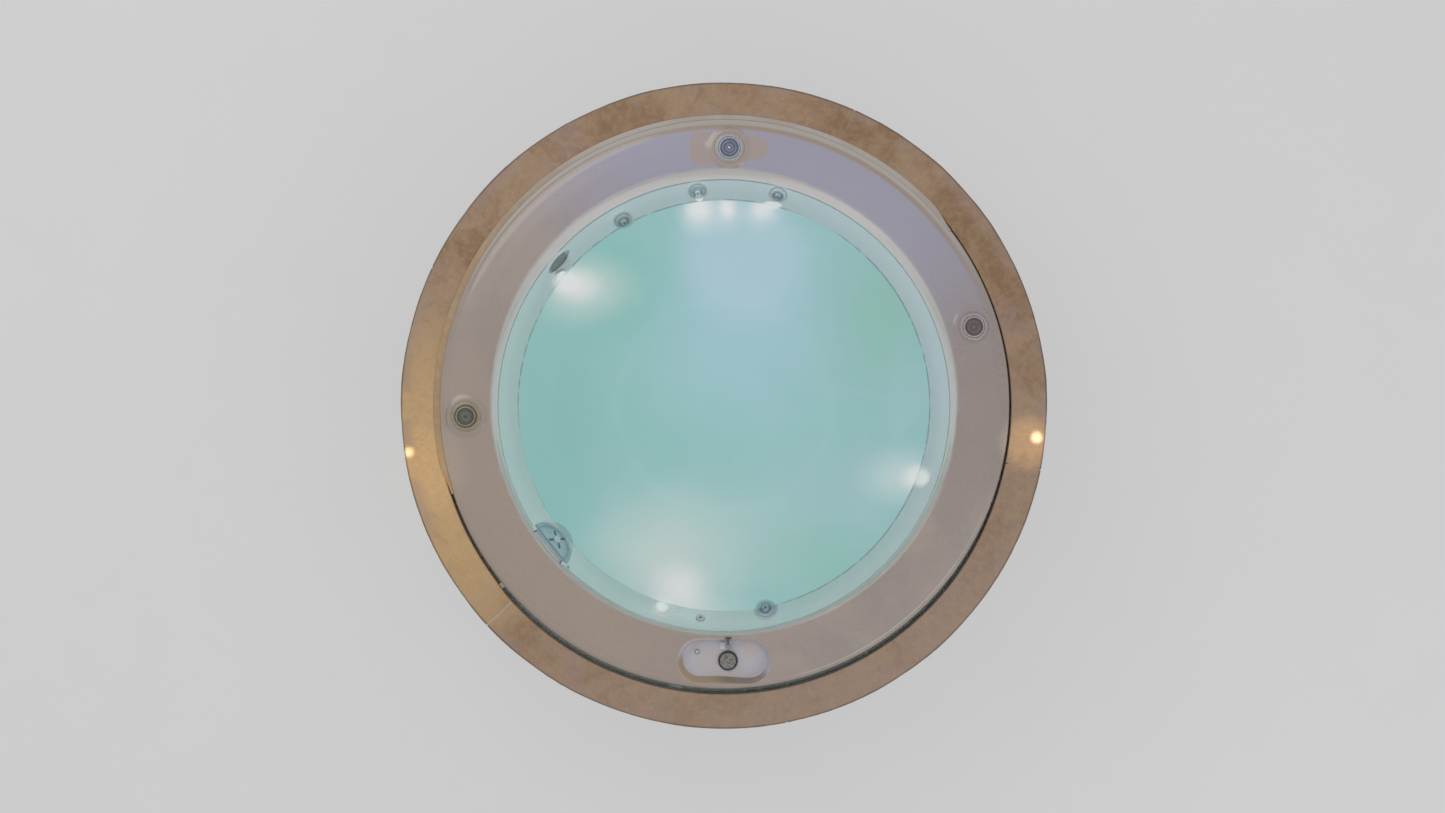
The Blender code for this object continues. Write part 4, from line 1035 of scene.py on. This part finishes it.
def make_jets():
    body = mm("15 -85, 15 -62, 27 -60, 27 1.5, 34 1.5, 34 4.5, 23.5 4.5, 23.5 -30")
    face = mm("22.2 -8, 22.2 4.8, 32 4.8, 32 7, 29 9.2, 26 9.6, 24.5 8.8, 23.2 8.8, 22.2 9.6, 19.5 9.5, 17.6 8, "
              "17.6 -8")
    ball = [(0.016 * sin(radians(t)), -0.016 * cos(radians(t))) for t in range(35, 141, 7)]
    nozzle = [*ball, *mm("9.2 16.5, 8.6 19, 6.2 19, 5.2 17, 5 2")]
    for number, place in enumerate(JET_FRAMES, 1):
        look, face_name, nozzle_name = f"jet_{number}", f"jet_face_{number}", f"jet_nozzle_{number}"
        low = -58 if place is FRONT_JET else -24
        shell = joined([turned(body, place, 64), wall_nut(place, 27.4, low, low + 12, 40, 0.03, 72, 10)])
        show(f"jet_housing_{number}", shell, *WHITE, f"jet_body_{number}")
        rotor = turned(face, place, 96, ring=True, waves=12, depth=0.0005, beyond=0.0285)
        show(f"jet_rotor_{number}", rotor, look, "chrome", face_name, face_name)
        lathe(f"jet_trim_ring_{number}", "22.8 8.2, 22.8 10, 23.6 10.4, 24.6 10, 24.6 8.2", place, 64, 0.0004, "trim",
              "dark_plastic", body=face_name, ring=True)
        eyeball = turned(nozzle, place, 48, soft=0.0005)
        show(f"jet_eyeball_{number}", eyeball, look, "dark_plastic", nozzle_name, nozzle_name)


def make_lamps():
    body = mm("8 -62, 8 -46, 21 -44, 21 1.5, 30 1.5, 30 4, 27.5 5.8, 23.5 6.2, 22.8 3")
    for number, place in enumerate(LAMP_FRAMES, 1):
        shell = joined([turned(body, place, 64), wall_nut(place, 21.4, -24, -13, 33, 0.026)])
        show(f"lamp_housing_{number}", shell, *WHITE)
        lathe(f"lamp_lens_{number}", "22.2 3.4, 22.2 5.8, 19.5 8, 15 9.8, 10 11, 5 11.6, 1 11.8", place, 64, 0.0006,
              "lens", "lamp", f"lamp_{number}")


def make_air_controls():
    collar = mm("10 -95, 10 -76, 24 -74, 24 0.3, 56 0.3, 56 2.6, 53 5, 48 6.2, 44.5 6.2, 42.5 5, 42.5 2.5, 10 2.5, "
                "10 -25")
    knob = mm("9 -20, 9 3, 39.2 3, 39.2 9.2, 37.2 11.6, 34 12.4, 31.8 12.4, 30.6 11.2, 28.8 11.2, 27.6 12.8, 24 13, "
              "22.4 11.2, 20.4 11, 19.2 12.2, 15.8 12.2, 14.6 10.6, 10.4 10.4, 9.6 11.6, 6 11.9")
    for number, (place, cap_look) in enumerate(zip(CONTROLS, ("chrome", "rust", "dark")), 1):
        node = f"air_control_knob_{number}"
        base = joined([turned(collar, place, 96), wall_nut(place, 24.4, -30, -18, 38, 0.03)])
        show(f"control_collar_ring_{number}", base, f"collar_{number}", "white_plastic",
             f"air_control_collar_{number}")
        grip = turned(knob, place, 144, soft=0.0005, waves=18, depth=0.0006, beyond=0.036)
        show(f"control_grip_{number}", grip, f"knob_{number}", "dark_plastic", node, node)
        lathe(f"control_cap_{number}", "5.2 10, 5.2 12.4, 4 13.4, 1.5 13.7", place, 32, 0.0004, cap_look,
              "dark_plastic", body=node)


def make_pocket_fittings():
    lathe("button_ring", "18 -30, 18 0.3, 37.5 0.3, 37.5 6, 36.2 8.2, 34.5 9, 33 8.8, 32 7.8, 32 2.8, 8 2.8, 8 -20",
          BUTTON, 96, 0.0008, *DARK, "button_bezel")
    lathe("button_trim", "33 8.4, 33 9.6, 34.5 10, 35.6 9.4, 35.6 8", BUTTON, 96, 0.0003, *DARK, ring=True)
    lathe("button_press_cap", "7.2 -12, 7.2 7.2, 30.8 7.2, 30.8 11.2, 28.8 13.2, 26.5 13.6, 24.5 12.8, 20 12.2, "
          "10 11.7, 2 11.6", BUTTON, 96, 0.0005, "button", "grey_plastic", "button_cap", "button_cap")
    bubbles = [turned(mm("3 11.2, 2.8 13.2, 1.2 13.8"), BUTTON @ at(x, y), 20, soft=0.0003)
               for x, y in mm("-8 10, 6 -9, -2 13, 10.5 4")]
    show("button_symbol_dots", joined(bubbles), "dark", "grey_plastic", body="button_cap")

    lathe("sensor_ring", "9.2 0.3, 9.2 3.6, 8 5, 6 5.2, 5 4", SENSOR, 48, 0.0004, *PANEL, "temperature_sensor")
    lathe("sensor_lens", "4.8 3.6, 4 5, 1 5.4", SENSOR, 32, 0.0003, *WHITE)
    lathe("lever_stem", "11 -45, 11 1, 10.2 3, 10.2 32, 11 34, 11 44, 9.6 48, 3 48.6", LEVER, 48, 0.0006, "lever",
          "chrome", "diverter_lever", "diverter_lever")
    arm = mm("-3.6 0, 3.6 0, 3 29, 11.8 31, 11.8 38, -11.8 38, -11.8 31, -3 29")
    show("lever_handle", prism(arm, 0.0412, 0.0466, LEVER), "dark", "chrome", body="diverter_lever", bevel=0.0012)
    plate = eased(rectangle(-0.03, 0.012, -0.013, 0.013), 0.004, 4, ring=True)
    show("lever_base_plate", prism(plate, 0.0003, 0.003, LEVER @ at(0, 0.0005)), *WHITE, bevel=0.0008)


def half_oval(grow):
    """Skimmer plate's outline, its straight side up the slope."""
    return arc_points((0, 0.034), (0.094 + grow, 0.082 + grow), 180, 360, 48)


def make_skimmer():
    levels = mm("0 2.3, 0 6, -1 7.6, -2.8 8.3, -13 8.3, -14.5 7.4, -16.5 7.4, -18 8.3, -40 8.3")
    rows = [[on(SKIMMER, x, y, z) for x, y in half_oval(grow)] for grow, z in levels]
    middle = SKIMMER @ at(0, -0.004)
    slot = eased(rectangle(0.0165, 0.037, -0.005, 0.005), 0.002, 3, ring=True)
    show("skimmer_plate", skin(rows), *PANEL, "skimmer_panel",
         cut=[prism(slot, 0.004, 0.02, middle @ about("Z", turn)) for turn in SKIMMER_SLOTS])
    barrel = turned([(0.029, -0.0088), (0.029, 0.0025)], middle, 48, soft=0.0005)
    boss = mm("15.5 7.4, 15.5 10.4, 14 12.2, 11.5 12.6, 10 11.2, 6 11, 5 12.2, 2 12.4")
    show("skimmer_knob", joined([barrel, turned(boss, middle, 64, soft=0.0005)]), "hub", "panel")
    marks = boxes_round(middle, SKIMMER_SLOTS, (0.016, -0.0055, 0.003), (0.0375, 0.0055, 0.0066))
    show("skimmer_slots", joined(marks), "rubber", "panel")

    walls = eased(rectangle(-0.088, 0.088, -0.04, 0.074), 0.006, 4, ring=True)
    basket = prism(walls, -0.075, -0.011, SKIMMER)
    show("skimmer_housing", basket, *WHITE, "skimmer_body",
         cut=[box_between((-0.08, 0.0345, -0.052), (0.08, 0.068, 0.01), SKIMMER)])

    hinge = SKIMMER @ at(*SKIMMER_HINGE)
    section = arc_points((0, 0), (0.0028, 0.0028), 60, 300, 12)
    section += mm("12 -2.1, 17.8 -3, 20.5 -3.4, 21.5 0, 20.5 3.4, 17.8 3, 12 2.1")
    rows = []
    for i in range(149):
        rib = 0.0011 if i % 8 in (0, 1) and 4 < i < 144 else 0
        x = -0.074 + 0.001 * i
        rows.append([hinge @ Vector((x, y, z + (rib if z > 0 and y > 0.004 else 0))) for y, z in section])
    show("weir_flap", skin(rows), "flap", "white_plastic", "skimmer_flap", "skimmer_flap")


def make_wall_fittings():
    lens = arc_points((0, -0.082), (0.1, 0.1), 56, 124, 24)
    lens += arc_points((0, 0.082), (0.1, 0.1), 236, 304, 24)
    slots = []
    for i in range(-9, 10):
        reach = 0.0118 * (1 - (i / 11.5) ** 2)
        slots.append(box_between((i * 0.005 - 0.0014, -reach, 0.004), (i * 0.005 + 0.0014, reach, 0.012), GRILLE))
    show("grille_plate", prism(lens, 0.0026, 0.0068, GRILLE), "grille", "dark_plastic", "overflow_grille",
         bevel=0.001, cut=slots)
    show("grille_socket", prism(stadium(0.084, 0.018), -0.026, 0.0027, GRILLE), *DARK)

    lathe("inlet_ring", "11.5 -26, 11.5 1.2, 16 1.2, 16 3, 14 4.6, 11 5, 7 5, 5.8 4.2, 5 2, 4.5 -16", INLET, 48,
          0.0004, *WHITE, "ozone_inlet")
    lathe("inlet_ball", "4.2 -14, 4.2 2.6, 3 4.2, 0.8 4.6", INLET @ at(0.0004, -0.0004), 24, 0.0003, "rubber",
          "dark_plastic")

    drain = at(0, 0, FLOOR_HEIGHT)
    slots = boxes_round(drain, [22.5 * i for i in range(16)], (0.026, -0.0022, 0.005), (0.062, 0.0022, 0.02))
    lathe("drain_dome", "30 -9, 30 0.3, 75 0.3, 75 5, 70 7.4, 54 11.2, 46 12, 10 12.4", drain, 96, 0.001, *WHITE,
          "drain_cover", cut=slots)

    plug_radius = 0.8475
    drop = (WATER_RADIUS - plug_radius) * tan(radians(BAND_SLOPE))
    lathe("wall_plug", "5.2 -4, 5.2 1.6, 4 2.8, 1 3", facing(224, plug_radius, WATER_LEVEL - drop, BAND_SLOPE), 32,
          0.0004, "rubber", "dark_plastic")
    foot = eased(rectangle(-0.011, 0.011, -0.009, 0.005), 0.003, 3, ring=True)
    show("gutter_clip", prism(foot, 0.856, 0.87, facing(231, 1.078, 0)), *WHITE, bevel=0.0012)
    brackets = [box_between((-0.0016, -0.0105, 0.846), (0.0016, 0.005, 0.862), facing(angle, 1.0775, 0))
                for angle in (167.1, 172.8, 175.8, 184.5, 200, 215, 150, 130)]
    show("gutter_brackets", joined(brackets), *STEEL)


# ---- Pipes and plant ----


def curve_through(points, pieces=8):
    """Catmull-Rom curve through a pipe's route, with its first and last stretches straight."""
    route = [points[0]]
    for a, b, c, d in zip(points, points[1:], points[2:], points[3:]):
        for i in range(pieces):
            t = i / pieces
            route.append(0.5 * ((2 * b) + (c - a) * t + (2 * a - 5 * b + 4 * c - d) * t * t
                                + (3 * b - a - 3 * c + d) * t * t * t))
    return [*route, points[-2], points[-1]]


def tube(points, radius, sides=24):
    """Round tube along a route, its sections carried along without twist."""
    ways = [(b - a).normalized() for a, b in zip(points, points[1:])]
    headings = [ways[0], *[(a + b).normalized() for a, b in zip(ways, ways[1:])], ways[-1]]
    side = headings[0].orthogonal().normalized()
    turns = [2 * pi * i / sides for i in range(sides)]
    rows = []
    for point, heading, before in zip(points, headings, [headings[0], *headings]):
        side = before.rotation_difference(heading) @ side
        other = heading.cross(side)
        rows.append([point + radius * (cos(t) * side + sin(t) * other) for t in turns])
    return skin(rows)


def along(start, stop, outline, steps, **rest):
    """Ring turned about the line from start towards stop."""
    turn = Vector((0, 0, 1)).rotation_difference((stop - start).normalized())
    return turned(outline, Matrix.Translation(start) @ turn.to_matrix().to_4x4(), steps, ring=True, **rest)


def union_nut(point, ahead, radius, size=1):
    """Ribbed union nut round a pipe's end."""
    wide = radius + 0.011 * size
    outline = [(radius - 0.001, 0), (wide - 0.002, 0), (wide, 0.003), (wide, 0.021), (wide - 0.003, 0.025),
               (radius + 0.003, 0.03), (radius - 0.001, 0.03)]
    return along(point, ahead, outline, 72, waves=12, depth=0.0011, beyond=wide - 0.0005)


def make_water_pipes(nuts):
    radius, height = 0.952, 0.7
    branches, tees = [], []
    for jet in JET_FRAMES:
        start, straight = on(jet, 0, 0, -0.0853), on(jet, 0, 0, -0.105)
        angle = clock_angle(jet.translation)
        branches.append(tube([start, straight, clock(angle, radius, height)], 0.016))
        nuts.append(union_nut(start, straight, 0.0165, 0.7))
        for side in (-2.6, 2.6):
            first, second = clock(angle + side, radius, height), clock(angle + side + 1, radius, height)
            tees.append(along(first, second, mm("23.8 0, 27.5 0, 27.5 14, 23.8 14"), 40))
    turn = HEATER_CLOCK - degrees(0.17 / HEATER_RADIUS) - 9
    mouth, straight = on(HEATER, -0.2003, 0, 0), on(HEATER, -0.245, 0, 0)
    riser = curve_through([mouth, straight, clock(turn, 0.9, 0.28), clock(turn, radius - 0.01, height - 0.2),
                           clock(turn, radius, height)])
    branches.append(tube(riser, 0.022))
    nuts.append(union_nut(mouth, straight, 0.0225))
    main = tube([clock(angle, radius, height) for angle in range(326, 543, 3)], 0.024)
    show("water_main_pipe", main, *PIPE, "water_manifold", join=branches)
    show("pipe_tee_collars", joined(tees), "white", "pipe")


def make_air_pipes(nuts):
    radius, height = 0.862, 0.62
    section = [(radius + 0.015 * cos(t), height + 0.015 * sin(t)) for t in [2 * pi * i / 20 for i in range(20)]]
    branches = []
    for jet in JET_FRAMES:
        port, beside = on(jet, 0.0275, 0, -0.05), on(jet, 0.065, 0, -0.05)
        angle = clock_angle(jet.translation) + 4.5
        branches.append(tube([clock(angle, radius, height), beside, port], 0.008, 16))
        nuts.append(union_nut(port, beside, 0.0085, 0.35))
    for control in CONTROLS:
        angle = clock_angle(control.translation)
        place = hypot(control.translation.x, control.translation.y)
        top = clock(angle, place, BOSS_TOP - 0.0953)
        below = clock(angle, place, top.z - 0.015)
        bend = [top, below, clock(angle, 0.9, 0.735), clock(angle, radius + 0.01, 0.67), clock(angle, radius, height)]
        branches.append(tube(curve_through(bend), 0.01, 16))
        nuts.append(union_nut(top, below, 0.0105, 0.4))
    tower = clock(BLOWER_CLOCK, BLOWER_RADIUS, 0.3003)
    above = tower + Vector((0, 0, 0.06))
    riser = [tower, above, clock(BLOWER_CLOCK, radius - 0.006, 0.5), clock(BLOWER_CLOCK, radius, height)]
    branches.append(tube(curve_through(riser), 0.013, 20))
    nuts.append(union_nut(tower, above, 0.0135, 0.7))
    show("air_ring_pipe", turned(section, steps=180, ring=True, soft=0), "air", "pipe", "air_manifold", join=branches)


def make_hoses(nuts):
    port, far = on(PUMP, 0, 0, 0.1953), on(PUMP, 0, 0, 0.24)
    foot, below = on(SKIMMER, 0, -0.01, -0.0753), on(SKIMMER, 0, -0.01, -0.11)
    suction = curve_through([foot, below, clock(232.5, 0.935, 0.6), clock(233, 0.925, 0.35),
                             clock(231, 0.87, 0.185), far, port])
    show("suction_hose", tube(suction, 0.024), *PIPE, "suction_pipe")
    nuts += [union_nut(foot, below, 0.0245), union_nut(port, far, 0.0245)]
    top = on(PUMP, -0.1253, 0, 0.135)
    above = top + Vector((0, 0, 0.045))
    inlet, ahead = on(HEATER, 0.2003, 0, 0), on(HEATER, 0.232, 0, 0)
    discharge = curve_through([top, above, clock(209, 0.81, 0.372), clock(196, 0.85, 0.372),
                               clock(186, 0.868, 0.28), ahead, inlet])
    show("discharge_hose", tube(discharge, 0.022), *PIPE, "discharge_pipe")
    nuts += [union_nut(top, above, 0.0225), union_nut(inlet, ahead, 0.0225)]


def make_pipes():
    nuts = []
    make_water_pipes(nuts)
    make_air_pipes(nuts)
    make_hoses(nuts)
    show("union_nuts", joined(nuts), "union", "grey_plastic")


def make_pump():
    throat = tube([on(PUMP, 0, 0, 0.135), on(PUMP, -0.125, 0, 0.135)], 0.026, 40)
    lathe("pump_casing", "60 90.3, 60 93, 75 100, 86 112, 90 115, 90 156, 80 166, 50 169, 30 172, 30 195", PUMP, 96,
          0.003, *DARK, "pump_wet_end", join=[throat])
    screws = []
    for i in range(8):
        turn = i * pi / 4 + 0.4
        x, y = SCREW_CIRCLE * cos(turn), SCREW_CIRCLE * sin(turn)
        if abs(degrees(atan2(y, x))) < 150:
            screws.append(turned([(0.008, 0.126), (0.008, 0.146)], PUMP @ at(x, y), 24))
            screws.append(bolt(PUMP @ at(x, y, 0.146), 0.0048, 0.004))
    show("pump_clamp_screws", joined(screws), *STEEL)

    foot = box_between((0.04, -0.065, -0.11), (PLANT_AXIS - PAN_TOP, 0.065, 0.05), PUMP)
    lathe("motor_case", "50 -160, 60 -156, 66 -150, 71.5 -132, 71.5 76, 64 83, 60 90", PUMP, 96, 0.003, "motor",
          "motor", "pump_motor", join=[foot])
    turns = [turn for turn in (360 * i / 26 for i in range(26)) if 62 < turn < 298]
    fins = boxes_round(PUMP, turns, (0.07, -0.0011, -0.12), (0.079, 0.0011, 0.068))
    show("motor_fins", joined(fins), "motor", "motor", bevel=0.0005)
    cap = box_between((-0.098, -0.032, -0.06), (-0.066, 0.032, 0.028), PUMP)
    show("motor_terminal_box", cap, *DARK, bevel=0.004)


def make_heater():
    heater = HEATER @ about("Y", 90)
    saddle = box_between((0.02, -0.03, -0.12), (PLANT_AXIS - PAN_TOP, 0.03, 0.12), heater)
    lathe("heater_tube", "22 -200, 30 -198, 30 -170, 42 -166, 42 166, 30 170, 30 198, 22 200", heater, 80, 0.002,
          *STEEL, "heater", join=[saddle])
    bands = [turned(mm(f"41.8 {z}, 44.5 {z}, 44.5 {z + 12}, 41.8 {z + 12}"), heater, 64, ring=True)
             for z in (-146, 134)]
    show("heater_bands", joined(bands), "chrome", "steel")
    case = box_between((-0.092, -0.034, -0.075), (-0.036, 0.034, 0.075), heater)
    show("heater_terminal_case", case, *DARK, bevel=0.004)


def make_blower():
    place = facing(BLOWER_CLOCK, BLOWER_RADIUS, 0)
    slots = boxes_round(place, range(0, 360, 15), (0.08, -0.004, 0.085), (0.1, 0.004, 0.185))
    lathe("blower_case", "95 30.3, 95 56.3, 92 62.3, 88 70.3, 88 200.3, 84 218.3, 70 245.3, 50 258.3, 30 266.3, "
          "22 272.3, 22 300", place, 96, 0.003, *DARK, "blower", cut=slots)
    lathe("blower_band", "88 196, 91 198, 91 206, 88 208", place, 96, 0.0008, "chrome", "steel", ring=True)


# ---- Carried-over nodes, stage, light and camera ----


def finish_nodes():
    """A better material for the CAD legs, which stay in sight."""
    for number in range(1, 7):
        for slot in frame["nodes"][f"frame_leg_{number}"].material_slots:
            slot.material = LOOKS["steel"]


def light(name, kind, place, power, **settings):
    """A light at a place, with the settings its kind has."""
    data = bpy.data.lights.new(name, kind)
    data.energy = power
    for key, value in settings.items():
        setattr(data, key, value)
    made = add(name, data)
    made.location = place
    return made


def make_stage():
    look = Look("pale_floor", "c8c8c8", 0.8)
    look.set("Base Color", look.over("7a7a7a", "787878", look.veil(0.4, 0.64, 3, 3), 0.5))
    look.set("Emission Color", "ffffff")
    look.set("Emission Strength", 0.425)
    look.set("Specular IOR Level", 0.1)
    mesh = bpy.data.meshes.new("floor")
    mesh.from_pydata([(x, y, 0) for x, y in rectangle(-40, 40, -40, 40)], [], [(0, 1, 2, 3)])
    mesh.materials.append(look.made)
    add("floor", mesh)

    world = bpy.data.worlds.new("studio")
    world.use_nodes = True
    world.node_tree.nodes["Background"].inputs["Color"].default_value = (1, 1, 1, 1)
    world.node_tree.nodes["Background"].inputs["Strength"].default_value = 0.8
    bpy.context.scene.world = world
    for name, place, power in (("key", (-2.5, 3, 5), 70), ("fill", (3, -3.5, 4), 45)):
        ray = Vector((0, 0, 0.8)) - Vector(place)
        studio = light(name, "AREA", place, power, shape="DISK", size=4)
        studio.rotation_euler = ray.to_track_quat("-Z", "Y").to_euler()
    for name, angle, radius, power, spread, colour, in_gloss in WARM_LAMPS:
        warm = light(name, "SPOT", clock(angle, radius, STONE_HIGH + WARM_LAMP_RISE), power, color=colour,
                     spot_size=radians(spread), spot_blend=1, shadow_soft_size=0.01)
        warm.visible_glossy = in_gloss
    light("under_water", "POINT", (0, 0, 0.68), 7.5, color=(0.93, 1, 0.99), shadow_soft_size=0.3)
    bpy.context.scene.view_settings.view_transform = "Standard"

    camera = bpy.data.cameras.new("camera")
    camera.lens, camera.sensor_width = 50, 36
    made = add("camera", camera)
    made.location = CAMERA_PLACE
    bpy.context.scene.camera = made


make_tub()
make_coping()
make_stand()
make_jets()
make_lamps()
make_air_controls()
make_pocket_fittings()
make_skimmer()
make_wall_fittings()
make_pipes()
make_pump()
make_heater()
make_blower()
finish_nodes()
make_stage()
